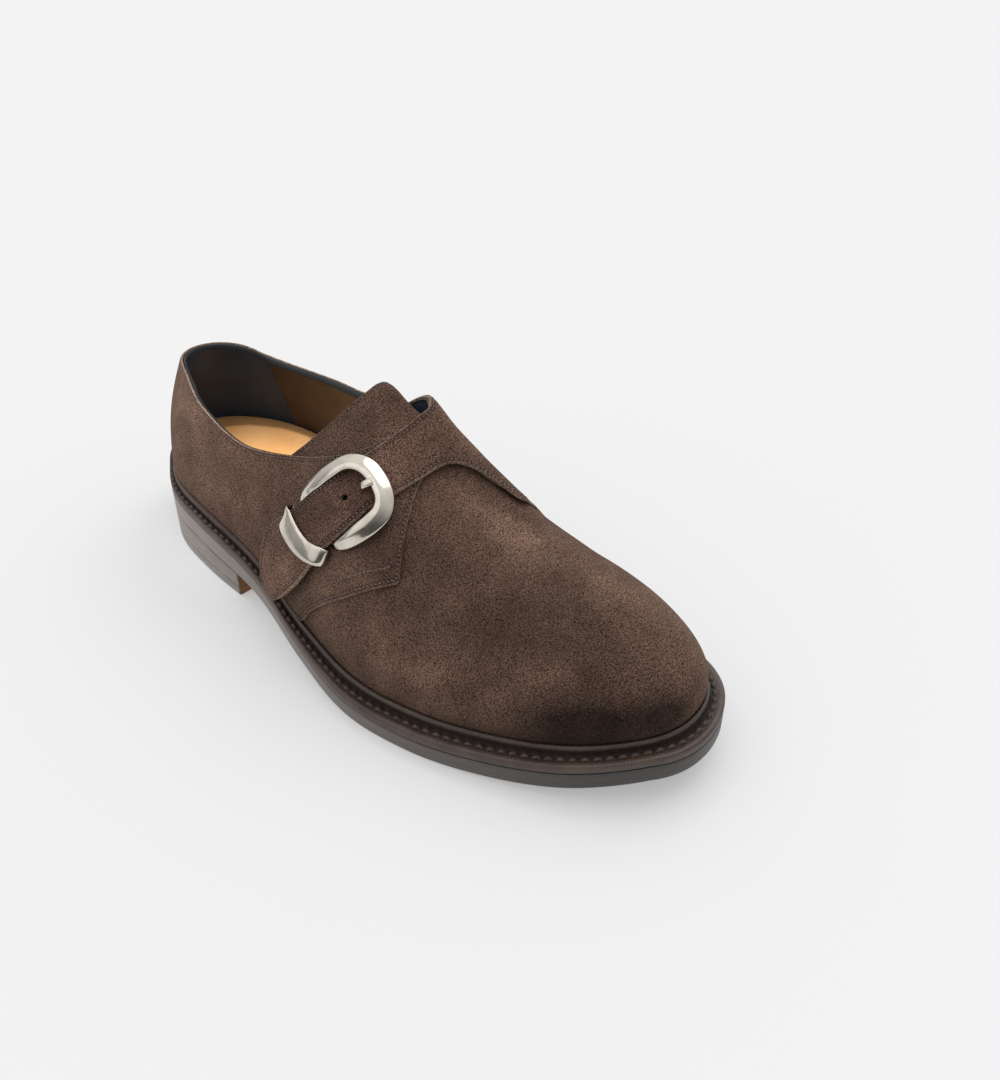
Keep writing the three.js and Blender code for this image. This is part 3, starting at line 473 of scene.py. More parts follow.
class Panel:
    """A piece of leather cut to a pattern. Rows are lines across it, from an upper to a lower edge,
    and the outer face is rounded over at all edges and pressed in along its stitch rows."""

    def __init__(self, rows, count, across, seat, thickness, stitched=(), ends=(False, False)):
        rows = through(rows, count)
        upper, lower = rows[:, :2], rows[:, 2:4]
        q = (1 - np.cos(np.linspace(0, math.pi, across))) / 2
        self.angle = upper[:, :1] + (lower[:, :1] - upper[:, :1]) * q
        self.down = upper[:, 1:] + (lower[:, 1:] - upper[:, 1:]) * q
        flat = pattern_place(self.angle, self.down)
        run = np.linalg.norm(np.diff(flat, axis=1), axis=2)
        run = np.concatenate([np.zeros((count, 1)), np.cumsum(run, 1)], 1)
        self.from_upper = run
        self.from_lower = run[:, -1:] - run
        middle = travelled(flat[:, across // 2])[:, None]
        edges = [self.from_upper, self.from_lower]
        edges += [middle + 0 * run] if ends[0] else []
        edges += [middle[-1] - middle + 0 * run] if ends[1] else []
        self.edge = np.minimum.reduce(edges)
        short = np.clip(1 - self.edge / PANEL_EDGE, 0, 1)
        rounding = PANEL_EDGE * (1 - np.sqrt(1 - short ** 2 * 0.999))
        self.count, self.stitched = count, stitched
        self.seat = seat(self) if callable(seat) else seat + 0 * run
        thick = thickness(self) if callable(thickness) else thickness
        self.face = (self.seat + thick - rounding - STITCH_PRESS * self.by_stitches(0, 0.55)
                     + STITCH_SWELL * self.by_stitches(1.6, 1.2))
        # Tone gain: nap strokes with painted light and shade, and painted shade along the pressed stitch
        # rows
        self.nap = (nap_and_painted_shade(self.body_angle(), 1 - np.abs(self.down))
                    - STITCH_PAINTED_SHADE * self.by_stitches(0, 0.7))

    def by_stitches(self, beyond, spread):
        """Bumps of height one along the stitch rows, or at a distance inside them."""
        return sum((bell(getattr(self, side), inset + beyond, spread) for side, inset in self.stitched),
                   0 * self.edge)

    def body_angle(self):
        """Angle round the last, from the signs that give the side."""
        return np.where(self.angle * self.down >= 0, np.abs(self.angle), 2 * math.pi - np.abs(self.angle))

    def points(self, lift):
        return pattern_place(self.angle, self.down, lift)

    def build(self, name, material, slot, replaces=(), extra=None):
        """Makes the piece, with its marks on both faces. The inner face counts as cut edge."""
        inner = self.points(self.seat + PANEL_EDGE * bell(self.edge, 0, 1.0))
        points, faces = two_sided(self.points(self.face), inner)
        marks = {"edge": np.r_[self.edge.ravel(), 0 * self.edge.ravel()]}
        for mark, values in {"nap": self.nap, **(extra or {})}.items():
            marks[mark] = np.r_[values.ravel(), values.ravel()]
        make_piece(name, points, faces, material, replaces, marks=marks, sharp=50)

    def line(self, side, inset, start=0.0, end=1.0):
        """Points on the outer face at a distance inside one edge, over a share of the rows, and the
        way out of the leather at each."""
        distance = getattr(self, side)
        outer, below = self.points(self.face), self.points(self.face - 1)
        picked, ways = [], []
        for k in range(int(start * self.count), int(end * self.count)):
            order = np.argsort(distance[k])
            spot, root = ([np.interp(inset, distance[k][order], face[k][order, c]) for c in range(3)]
                          for face in (outer, below))
            picked.append(spot)
            ways.append(np.array(spot) - root)
        return np.array(picked), np.array(ways)


def thread_run(name, lines, material, pitch=THREAD_PITCH, wide=0.52, fill=0.70, sunk=0.12):
    """Sewing thread as short stitches: each is a bar of six sides, whose middle stands up by the
    root of a half sine and whose ends dive into the leather."""
    points, faces, total = [], [], 0
    bars, sides = 6, 6
    for line, ways in lines:
        run = travelled(line)
        count = max(2, int(run[-1] / pitch))
        start = (np.arange(count) + (1 - fill) / 2) * pitch
        t = np.linspace(0, 1, bars)
        goal = start[:, None] + t[None] * pitch * fill
        centre = np.stack([np.interp(goal, run, line[:, c]) for c in range(3)], -1)
        way = np.stack([np.interp(goal, run, ways[:, c]) for c in range(3)], -1)
        way /= np.linalg.norm(way, axis=-1, keepdims=True)
        rise = wide * (np.sqrt(np.sin(t * math.pi).clip(0)) * 0.9 - 0.55) + sunk
        centre = centre + way * rise[None, :, None]
        along = centre[:, -1:] - centre[:, :1]
        along /= np.linalg.norm(along, axis=-1, keepdims=True)
        beside_way = np.cross(along, way)
        turn = np.arange(sides) / sides * 2 * math.pi
        girth = wide / 2 * (0.65 + 0.35 * np.sin(t * math.pi))
        ring = (np.cos(turn)[None, None, :, None] * beside_way[:, :, None]
                + np.sin(turn)[None, None, :, None] * way[:, :, None] * 0.8)
        ring = centre[:, :, None] + ring * girth[None, :, None, None]
        points.append(ring.reshape(-1, 3))
        one = grid_faces(bars, sides, wrap_columns=True)
        caps = np.array([[0, 1, 2, 3], [0, 3, 4, 5]])
        one = np.concatenate([one, caps[:, ::-1], caps + (bars - 1) * sides])
        faces.append((one[None] + (np.arange(count) * bars * sides)[:, None, None]).reshape(-1, 4) + total)
        total += count * bars * sides
    make_piece(name, np.concatenate(points), faces, material, sharp=80)


# Materials


def linear(hexa):
    """sRGB hex to linear light, opaque."""
    parts = [int(hexa[i:i + 2], 16) / 255 for i in (0, 2, 4)]
    return [c / 12.92 if c <= 0.04045 else ((c + 0.055) / 1.055) ** 2.4 for c in parts] + [1.0]


def new_material(name):
    """An empty node material."""
    material = bpy.data.materials.new(name)
    material.use_nodes = True
    material.node_tree.nodes.clear()
    return material


def node(material, kind, settings=None, out=0, stops=(), **inputs):
    """Adds one node and gives the output asked for. Settings are its own values, stops are the
    positions and colours of a ramp, and inputs are numbers or sockets by name, or by number as _0."""
    made = material.node_tree.nodes.new("ShaderNode" + kind)
    for key, value in (settings or {}).items():
        setattr(made, key, value)
    for k, (position, colour) in enumerate(stops):
        elements = made.color_ramp.elements
        element = elements[k] if k < 2 else elements.new(position)
        element.position = position
        element.color = linear(colour)
    for key, value in inputs.items():
        socket = made.inputs[int(key[1:])] if key[0] == "_" else made.inputs[key.replace("_", " ")]
        if isinstance(value, bpy.types.NodeSocket):
            material.node_tree.links.new(value, socket)
        else:
            socket.default_value = value
    return made.outputs[out] if len(made.outputs) else None


def finish(material, **inputs):
    """The surface: one Principled shader with these inputs, linked to the output."""
    shader = node(material, "BsdfPrincipled", **inputs)
    node(material, "OutputMaterial", Surface=shader)
    return material


def scale_for(size_mm):
    """Noise scale, in cells a metre, for a feature of this size."""
    return 1000.0 / size_mm


def bands_for(pitch_mm):
    """Wave scale whose bands come once every pitch."""
    return 1000.0 * math.pi / 10 / pitch_mm


COLOURS = {"data_type": "RGBA", "blend_type": "MIX"}


def suede(name, dark, mid, light, speck, grit):
    """Split cowhide buffed to a nap. The eye sees a matt brown full of light and dark specks, clouded
    where the nap lies one way or the other, and paler along cut edges. The real fibres are about a
    tenth of a millimetre, and the specks are drawn as the tufts of half a millimetre that show. Speck
    is how far they go from the tone, and grit their size in mm."""
    m = new_material(name)
    place = node(m, "TexCoord", out="Object")
    clouds = node(m, "TexNoise", Vector=place, Scale=scale_for(42), Detail=2.0, Roughness=0.5)
    brushed = node(m, "TexNoise", Vector=place, Scale=scale_for(10), Detail=3.0, Roughness=0.6)
    part = node(m, "Math", {"operation": "MULTIPLY"}, _0=brushed, _1=0.4)
    nap = node(m, "Math", {"operation": "MULTIPLY_ADD"}, _0=clouds, _1=0.6, _2=part)
    tone = node(m, "ValToRGB", Fac=nap, stops=[(0.36, dark), (0.50, mid), (0.64, light)])
    edge = node(m, "Attribute", {"attribute_name": "edge"}, out="Fac")
    cut_edge = node(m, "MapRange", Value=edge, _1=0.1, _2=0.6, _3=0.5, _4=0.0)
    tone = node(m, "Mix", COLOURS, out=2, _0=cut_edge, _6=tone, _7=linear("93806f"))
    tufts = node(m, "TexNoise", Vector=place, Scale=scale_for(grit), Detail=2.0, Roughness=0.7)
    grains = node(m, "MapRange", Value=tufts, _1=0.36, _2=0.64, _3=max(0.1, 1 - speck), _4=1 + speck)
    tone = node(m, "VectorMath", {"operation": "SCALE"}, _0=tone, Scale=grains)
    # The nap mark holds nap strokes together with painted light and shade
    shade = node(m, "Attribute", {"attribute_name": "nap"}, out="Fac")
    gain = node(m, "Math", {"operation": "ADD"}, _0=shade, _1=1.0)
    tone = node(m, "VectorMath", {"operation": "SCALE"}, _0=tone, Scale=gain)
    bump = node(m, "Bump", Height=tufts, Strength=0.75, Distance=0.0006)
    return finish(m, Base_Color=tone, Normal=bump, Roughness=0.95, Specular_IOR_Level=0.12,
                  Sheen_Weight=0.15, Sheen_Roughness=0.5, Sheen_Tint=linear("b59c86"))


def waxed_leather(name, colour, dark, groove_shade_and_tone, mark_pitch):
    """Vegetable tanned leather stained, waxed and run with a hot wheel: a low gloss and fine marks across
    its outer edge.
    The channel mark mixes in the bead's darker tone, and painted shade in the channel, under the bead and
    under the edge."""
    m = new_material(name)
    place = node(m, "TexCoord", out="Object")
    stain = node(m, "TexNoise", Vector=place, Scale=scale_for(14), Detail=6.0, Roughness=0.65)
    tone = node(m, "ValToRGB", Fac=stain, stops=[(0.34, dark), (0.62, colour)])
    along = node(m, "UVMap", {"uv_map": "pattern"})
    wheel = node(m, "TexWave", {"bands_direction": "X"}, Vector=along, Distortion=1.2, Detail=1.0,
                 Scale=bands_for(mark_pitch))
    marks = node(m, "MapRange", Value=wheel, _1=0.0, _2=1.0, _3=0.88, _4=1.10)
    tone = node(m, "VectorMath", {"operation": "SCALE"}, _0=tone, Scale=marks)
    # Painted shade in the channel, under the bead and under the welt's edge, with the bead's own darker
    # tone
    channel = node(m, "Attribute", {"attribute_name": "channel"}, out="Fac")
    tone = node(m, "Mix", COLOURS, out=2, _0=channel, _6=tone, _7=linear(groove_shade_and_tone))
    pores = node(m, "TexNoise", Vector=place, Scale=scale_for(0.9), Detail=3.0)
    height = node(m, "Math", {"operation": "ADD"}, _0=pores, _1=wheel)
    bump = node(m, "Bump", Height=height, Strength=0.4, Distance=0.0003)
    return finish(m, Base_Color=tone, Normal=bump, Roughness=0.45, Coat_Weight=0.12, Coat_Roughness=0.35)


def painted_edge(name, shaded_toe_dark, shaded_toe_light, lit_heel_dark, lit_heel_light):
    """Leather sole edge, scraped, painted and burnished: a soft shine and faint lines along the layers.
    Painted light makes it paler towards the heel, and painted shade makes it darker towards the toe."""
    m = new_material(name)
    place = node(m, "TexCoord", out="Object")
    flat = node(m, "Mapping", Vector=place, Scale=(1.0, 1.0, 9.0))
    lines = node(m, "TexNoise", Vector=flat, Scale=scale_for(9), Detail=6.0, Roughness=0.6)
    fine = node(m, "TexNoise", Vector=flat, Scale=scale_for(1.2), Detail=3.0)
    ahead = node(m, "ValToRGB", Fac=lines, stops=[(0.32, shaded_toe_dark), (0.66, shaded_toe_light)])
    behind = node(m, "ValToRGB", Fac=lines, stops=[(0.32, lit_heel_dark), (0.66, lit_heel_light)])
    # Painted light and shade: the edge is paler towards the heel and darker towards the toe
    length = node(m, "SeparateXYZ", Vector=place, out="Y")
    rear = node(m, "MapRange", Value=length, _1=-0.13, _2=0.10, _3=0.0, _4=1.0)
    tone = node(m, "Mix", COLOURS, out=2, _0=rear, _6=ahead, _7=behind)
    bump = node(m, "Bump", Height=fine, Strength=0.25, Distance=0.0002)
    gloss = node(m, "MapRange", Value=lines, _1=0.3, _2=0.7, _3=0.36, _4=0.5)
    return finish(m, Base_Color=tone, Normal=bump, Roughness=gloss)


def bare_leather(name, colour, dark, layer=0.0):
    """Natural vegetable tanned leather: a warm tan, clouded by its dressing, with a fine grain. On a
    cut face its layers, given by their pitch in mm, show as darker lines."""
    m = new_material(name)
    place = node(m, "TexCoord", out="Object")
    stain = node(m, "TexNoise", Vector=place, Scale=scale_for(18), Detail=6.0, Roughness=0.6)
    tone = node(m, "ValToRGB", Fac=stain, stops=[(0.32, dark), (0.62, colour)])
    if layer:
        wave = node(m, "TexWave", {"bands_direction": "Z"}, Vector=place, Distortion=0.8, Detail=3.0,
                    Scale=bands_for(layer))
        cut = node(m, "MapRange", Value=wave, _1=0.04, _2=0.2, _3=0.45, _4=0.0)
        tone = node(m, "Mix", COLOURS, out=2, _0=cut, _6=tone, _7=linear(dark))
    grain = node(m, "TexNoise", Vector=place, Scale=scale_for(0.8), Detail=3.0)
    bump = node(m, "Bump", Height=grain, Strength=0.25, Distance=0.0002)
    return finish(m, Base_Color=tone, Normal=bump, Roughness=0.5)


def lining_leather(name):
    """Thin dyed calf lining: navy round the heel and dark brown ahead of a slanted seam, with a near
    black edge along the collar."""
    m = new_material(name)
    place = node(m, "TexCoord", out="Object")
    stain = node(m, "TexNoise", Vector=place, Scale=scale_for(16), Detail=5.0)
    navy = node(m, "ValToRGB", Fac=stain, stops=[(0.3, "233042"), (0.7, "33465c")])
    brown = node(m, "ValToRGB", Fac=stain, stops=[(0.3, "32261e"), (0.7, "46362a")])
    ahead = node(m, "Attribute", {"attribute_name": "ahead"}, out="Fac")
    tone = node(m, "Mix", COLOURS, out=2, _0=ahead, _6=navy, _7=brown)
    rim = node(m, "Attribute", {"attribute_name": "rim"}, out="Fac")
    tone = node(m, "Mix", COLOURS, out=2, _0=rim, _6=tone, _7=linear("15191c"))
    grain = node(m, "TexNoise", Vector=place, Scale=scale_for(1.0), Detail=4.0)
    bump = node(m, "Bump", Height=grain, Strength=0.35, Distance=0.0003)
    return finish(m, Base_Color=tone, Normal=bump, Roughness=0.55)


def nickel(name):
    """Cast zinc, tumbled and plated with warm nickel: bright, softly rippled, and duller in places
    where it is worn."""
    m = new_material(name)
    place = node(m, "TexCoord", out="Object")
    ripple = node(m, "TexNoise", Vector=place, Scale=scale_for(6), Detail=2.0)
    wear = node(m, "TexNoise", Vector=place, Scale=scale_for(0.9), Detail=4.0)
    tone = node(m, "ValToRGB", Fac=ripple, stops=[(0.3, "c4bcaf"), (0.7, "d8d1c5")])
    gloss = node(m, "MapRange", Value=wear, _1=0.3, _2=0.8, _3=0.08, _4=0.2)
    bump = node(m, "Bump", Height=ripple, Strength=0.15, Distance=0.0006)
    return finish(m, Base_Color=tone, Normal=bump, Metallic=1.0, Roughness=gloss)


def waxed_thread(name, colour, dark):
    """Waxed thread, dull, with the twist too fine to see and drawn as a faint change of tone."""
    m = new_material(name)
    place = node(m, "TexCoord", out="Object")
    twist = node(m, "TexNoise", Vector=place, Scale=scale_for(1.5), Detail=2.0)
    tone = node(m, "ValToRGB", Fac=twist, stops=[(0.35, dark), (0.65, colour)])
    return finish(m, Base_Color=tone, Roughness=0.7)


UPPER_SUEDE = suede("upper_suede", "544137", "624c41", "70594c", speck=0.95, grit=0.5)
STRAP_SUEDE = suede("strap_suede", "4d3c33", "5b453b", "6a5247", speck=1.9, grit=0.55)
LINING = lining_leather("lining_calf")
WELT_LEATHER = waxed_leather("welt_leather", "554339", "392b25", groove_shade_and_tone="281e1a", mark_pitch=1.1)
SOLE_EDGE = painted_edge("painted_sole_edge", "363330", "45413e", "857a74", "9a8f88")
BREAST_LEATHER = bare_leather("cut_heel_leather", "99602f", "5f391c", layer=4.5)
SOCK_LEATHER = bare_leather("sock_leather", "f2b878", "e6a866")
NICKEL = nickel("plated_nickel")
UPPER_THREAD = waxed_thread("upper_thread", "8c7772", "6c5956")
WELT_THREAD = waxed_thread("welt_thread", "574840", "3d3029")


# The upper


# Strokes of nap that lies lighter or darker, with painted light and shade: lighter high on the vamp, darker
# low round the toe. Angle and share up of the two ends, gain and half width in mm
NAP_AND_PAINTED_LIGHT_STROKES = [
    (2.40, 0.14, 2.62, 0.15, -0.34, 12.0), (2.55, 0.10, 2.95, 0.16, -0.66, 19.0),
    (2.95, 0.12, 3.25, 0.14, -0.30, 13.0), (2.30, 0.20, 2.36, 0.24, 0.26, 7.0),
    (2.42, 0.33, 2.47, 0.36, 0.26, 7.0), (2.05, 0.50, 2.12, 0.62, 0.10, 7.0),
    (1.98, 0.20, 2.10, 0.24, 0.16, 6.0), (2.10, 0.45, 2.50, 0.75, -0.34, 24.0),
    (2.62, 0.55, 3.00, 0.75, -0.16, 26.0),
    (1.90, 0.62, 1.96, 0.80, -0.12, 6.0), (2.50, 0.34, 2.60, 0.38, -0.12, 7.0),
    (1.92, 0.88, 2.20, 0.95, 0.36, 9.0), (0.80, 0.20, 0.98, 0.24, -0.20, 5.0),
    (0.62, 0.24, 0.70, 0.30, -0.18, 4.0), (1.76, 0.47, 1.84, 0.52, -0.38, 7.0),
    (0.30, 0.35, 1.10, 0.36, 0.14, 22.0), (1.30, 0.80, 1.40, 0.98, 0.18, 12.0)]


def nap_and_painted_shade(angle, up):
    """Gain of the tone: the strokes, and a band of painted shade at the feather line."""
    return np.clip(creases(NAP_AND_PAINTED_LIGHT_STROKES, angle, up) - 0.28 * bell(up, 0, 0.05), -0.8, 0.6)


# Soft troughs and ridges of the lasted vamp: angle and share up of the two ends, depth and half width
# in mm, positive for a ridge
VAMP_CREASES = [
    (1.80, 0.42, 1.95, 0.80, -0.35, 7.0), (2.02, 0.50, 2.12, 0.84, 0.30, 6.0),
    (2.20, 0.36, 2.30, 0.72, -0.30, 7.0), (1.95, 0.16, 2.25, 0.28, 0.35, 8.0),
    (2.45, 0.30, 2.75, 0.50, 0.25, 7.0), (4.10, 0.45, 4.00, 0.80, -0.35, 8.0)]
QUARTER_CREASES = [
    (0.62, 0.16, 0.85, 0.24, -0.55, 5.0), (0.95, 0.14, 1.15, 0.26, -0.40, 6.0),
    (0.70, 0.34, 1.05, 0.36, 0.35, 6.0), (5.30, 0.20, 5.60, 0.30, -0.45, 7.0)]


def creases(table, angle, up):
    """Sum of soft strokes: each a Gaussian of the distance on the skin, in mm, from a straight line
    between its two ends."""
    angle, up = np.broadcast_arrays(angle, up)
    total = np.zeros(angle.shape)
    # About the length on the skin of one radian round the last, and of a rib
    around, high = LAST_LENGTH * 0.42, 105.0
    for a0, u0, a1, u1, depth, spread in table:
        ax, ay = (a1 - a0) * around, (u1 - u0) * high
        px, py = (angle - a0) * around, (up - u0) * high
        t = np.clip((px * ax + py * ay) / (ax * ax + ay * ay), 0, 1)
        total = total + depth * bell(np.hypot(px - t * ax, py - t * ay), 0, spread)
    return total


def vamp_creases(angle, up):
    """The vamp's creases in mm, fading out at the feather line."""
    return creases(VAMP_CREASES, angle, up) * step_up(up, 0.0, 0.1)


def make_vamp():
    """The vamp from the waist round the toe: a grid of angle by share up the side. Its rear edge leans
    forward under the quarters, and it has an inner face joined to the outer one at its edges."""
    up = np.linspace(0, 1, 97)[None] ** 1.05
    back = angle_of(0.42 + 0.155 * step_up(up, 0.25, 0.85))
    run = np.linspace(-1, 1, 481)[:, None]
    angle = math.pi + run * (math.pi - back)
    outer = on_last(angle, up, vamp_creases(angle, up))
    inner = on_last(angle, up, -0.9)
    sunk = outer[:, :1].copy()
    sunk[..., 2] -= 2.5
    sheet = np.concatenate([sunk, outer], 1)
    below = np.concatenate([sunk + 0, inner], 1)
    rows, columns = sheet.shape[:2]
    n = rows * columns
    shade = nap_and_painted_shade(angle, up + 0 * angle)
    shade = np.concatenate([shade[:, :1], shade], 1).ravel()
    ends = [np.stack([k + np.arange(columns - 1), k + np.arange(1, columns), k + n + np.arange(1, columns),
                      k + n + np.arange(columns - 1)], -1) for k in (0, (rows - 1) * columns)]
    faces = [grid_faces(rows, columns), grid_faces(rows, columns, start=n)[:, ::-1]] + ends
    make_piece("vamp", np.concatenate([sheet.reshape(-1, 3), below.reshape(-1, 3)]), faces,
               UPPER_SUEDE, replaces=("upper",),
               marks={"edge": np.full(2 * n, 9.0), "nap": np.r_[shade, shade]}, sharp=70)


def collar_rows(shares, side, sign):
    """Panel rows from the topline down to the feather line, between pairs of places."""
    return [(angle_of(a), sign * topline(a, side if a >= 0 else 2), angle_of(b), sign * 1.0)
            for a, b in shares]


def quarter_seat(panel):
    """Just under the lasted surface, with creases that fade out at the edges."""
    soft = creases(QUARTER_CREASES, panel.body_angle(), 1 - np.abs(panel.down))
    return -0.1 + soft * step_up(panel.edge, 1, 9)


def outer_quarter():
    """The quarter of the buckle side: from a lapped seam on the inner side round the heel, forward to
    a pointed corner, and up under the strap to a tab over the ridge."""
    rows = collar_rows(OUTER_QUARTER_FOOT, 1, 1.0)
    rows += [(angle_of(a), topline(a, 1), angle_of(b), down) for a, b, down in OUTER_QUARTER_FRONT]
    rows += [(angle_of(a), up, angle_of(b), down) for a, up, b, down in OUTER_QUARTER_TAB]
    return Panel(rows, 640, 76, seat=quarter_seat, thickness=QUARTER_LAYER + 0.1,
                 stitched=(("from_upper", COLLAR_INSET), ("from_lower", STITCH_INSET)), ends=(True, True))


def strap_climb(panel):
    """Rise onto the tab at the ridge, and the arch off the tongue beside it, along the rear edge."""
    climb = (QUARTER_LAYER + SEAM_GAP + 0.1) * step_up(panel.down, -0.26, -0.10)
    return climb + 2.6 * bell(panel.from_upper, 0, 11) * bell(panel.down, -0.085, 0.075)


def strap_seat(panel):
    """Seat of the inner quarter and strap: it climbs onto the tab at the ridge, arches off the tongue
    along its rear edge beside the ridge, and passes over the buckle's bar by the lift table."""
    lift = (BUCKLE_BAR + SEAM_GAP) * smooth(panel.down, STRAP_LIFT) * (panel.down > 0)
    flat = np.where(panel.down < -0.3, quarter_seat(panel), -0.1)
    return flat + strap_climb(panel) + lift


def strap_and_inner_quarter():
    """One piece of suede: the quarter of the inner side, and the strap that it runs out into, with a
    punched spare hole between the prong and the keeper."""
    rows = collar_rows(INNER_QUARTER_FOOT, 2, -1.0)
    rows += [(angle_of(a), -up, angle_of(b), -down) for a, up, b, down in INNER_QUARTER_FRONT]
    rows += [(angle_of(a), down, angle_of(b), down) for a, b, down in STRAP_ROWS]
    panel = Panel(rows, 760, 64, seat=strap_seat,
                  thickness=lambda p: 1.2 + (STRAP_THICKNESS - 1.2) * step_up(p.down, -0.25, -0.05),
                  stitched=(("from_upper", STITCH_INSET), ("from_lower", STITCH_INSET)), ends=(True, True))
    # Painted shadow with darker nap where the strap passes inside the buckle's frame; then lighter on the
    # tail past the keeper, and darker near the ridge
    panel.nap -= 0.40 * step_up(panel.down, 0.29, 0.35) * (1 - step_up(panel.down, 0.61, 0.68))
    panel.nap += 0.20 * step_up(panel.down, 0.74, 0.84) - 0.28 * bell(panel.down, 0.02, 0.16)
    hole = 1 - step_up(np.linalg.norm(panel.points(0.0) - at_place(*SPARE_HOLE), axis=2), 0.8, 1.4)
    # The hole is sunk, and painted shade darkens its inside
    panel.face -= 1.6 * hole
    panel.nap -= 0.75 * hole
    return panel


def tongue_seat(panel):
    """Under the upper's wall, and proud of it at the tongue's rounded top."""
    proud = 1.9 * bell(share_of(panel.angle), 0.452, 0.03) * bell(panel.down, 0, 0.14)
    return -UPPER_WALL - 1.9 + proud


def tongue_panel():
    """The tongue, which stands a little proud at its rounded top on the ridge."""
    rows = [(angle_of(a), down, angle_of(TONGUE_FRONT), down) for a, down in TONGUE_ROWS]
    return Panel(rows, 200, 60, thickness=1.8, seat=tongue_seat,
                 stitched=(("from_upper", COLLAR_INSET),), ends=(True, True))


# Rows up the lining. Then, in mm: how far under the topline its edge begins, and how far that edge
# rises and reaches outwards
LINING_ROWS = 64
RIM_DROP, RIM_RISE, RIM_WIDTH = 1.3, 1.5, 1.9


def make_lining():
    """The lining inside the collar: its inner face, a skived top edge that slopes up to the suede, and
    a hidden outer face. A slanted seam, where its front part laps the back one, is a small step."""
    angle = np.linspace(0, 2 * math.pi, 721)[:-1][:, None]
    share = share_of(np.where(angle <= math.pi, angle, 2 * math.pi - angle))
    top = 1 - np.where(angle <= math.pi, topline(share, 1), topline(share, 2))
    rib = np.interp(angle.ravel(), np.linspace(0, 2 * math.pi, COLUMNS + 1), RIB_LENGTHS)[:, None]
    open_part = (top < 1) * 1.0
    rise = np.linspace(0, 1, LINING_ROWS)[None] ** 0.8
    slope = np.linspace(0, 1, 9)[None, 1:]
    ups = np.concatenate([rise * (top - RIM_DROP / rib * open_part),
                          top - (RIM_DROP - RIM_RISE * np.sin(slope * math.pi / 2)) / rib * open_part,
                          rise[:, ::-1] * top], 1)
    depth = (1 - rise[:, ::-1]) * top * rib
    lifts = np.concatenate([-UPPER_WALL + 0 * depth, -UPPER_WALL + RIM_WIDTH * slope + 0 * depth[:, :8],
                            -0.1 - 1.1 * step_up(depth, 0.8, 6)], 1)
    # The seam leans: its place is 0.127 at the feather line, and less by 0.080 of the way up
    ahead = step_up(share + 0.080 * ups - 0.127, 0, 0.003)
    step = 0.35 * ahead * np.concatenate([1 + 0 * rise, 1 - slope, 0 * rise], 1)
    points = on_last(angle, ups, lifts - step)
    rim = np.concatenate([0 * rise, 0 * slope + 1, 0 * rise + 1], 1) * open_part
    rim[:, LINING_ROWS - 1] = 0.3 * open_part[:, 0]
    rows, columns = points.shape[:2]
    make_piece("lining", points, [grid_faces(rows, columns, wrap_rows=True)], LINING,
               marks={"ahead": ahead + 0 * rim, "rim": rim}, sharp=60)


def make_strap_lining():
    """The lining under the arched edge of the inner quarter beside the ridge."""
    rows = [(angle_of(a + 0.002), -up, angle_of(a + 0.06), -up)
            for a, up, _, _ in INNER_QUARTER_FRONT[4:]]
    panel = Panel(rows, 120, 24, thickness=0.9, seat=0.0)
    panel.seat = -1.15 + strap_climb(panel)
    panel.face = panel.seat + 1.0
    panel.build("strap_lining", LINING, "upper_suede",
                extra={"ahead": 0 * panel.edge, "rim": (panel.from_upper < 1.2) * 1.0})


# The sole

AROUND = 720


def even_angles(count=AROUND):
    """Angles round the last in even steps, from half a step past the heel."""
    return (np.arange(count) + 0.5) / count * 2 * math.pi


def overhang(angle):
    """How far the welt stands out from the feather line: the overhang by its share."""
    return smooth(feather(angle)[2], WELT_LINE) * WELT_OVERHANG


def sole_ring(angle, inset, height):
    """The welt's outline moved inwards, at a height that depends on the place."""
    return beside(angle, overhang(angle) - inset, height)


def rings_uv(rings):
    """UV in metres: length round the outline, and length over the profile."""
    around = travelled(rings[len(rings) // 2])
    over = travelled(rings[:, 0])
    return np.stack(np.broadcast_arrays(around[None], over[:, None]), -1) * MM


def above(line, rise=0.0):
    """Height over a line along the last, as a function of the place."""
    return lambda share: line(share) + rise


def make_outsole():
    """The sole: rounded at the floor, upright at its painted edge, and eased under the welt."""
    angle = even_angles()
    profile = [(1.2, 0.0), (0.55, 0.12), (0.15, 0.5), (0.0, 1.2)]
    rings = [sole_ring(angle, inset, above(sole_bottom, up)) for inset, up in profile]
    rings += [sole_ring(angle, 0.0, lambda s, t=t: (
                  sole_bottom(s) + 1.2 + t * (sole_top(s) - sole_bottom(s) - 1.7)))
              for t in (0.33, 0.66, 1.0)]
    rings += [sole_ring(angle, 0.12, above(sole_top, -0.15)), sole_ring(angle, 0.5, sole_top)]
    rings = np.array(rings)
    make_piece("outsole_edge", rings, capped_faces(*rings.shape[:2]), SOLE_EDGE,
               replaces=("outsole",), uv=rings_uv(rings), sharp=50)


def heel_rings(levels):
    """Rings of the heel: the sole's edge behind the breast, and a straight face across."""
    breast = float(angle_of(BREAST_SETBACK / LAST_LENGTH))
    angle = np.linspace(breast, -breast, 400)
    return np.array([sole_ring(angle, inset, height) for inset, height in levels])


def ground(share):
    """Height of the floor."""
    return 0 * share


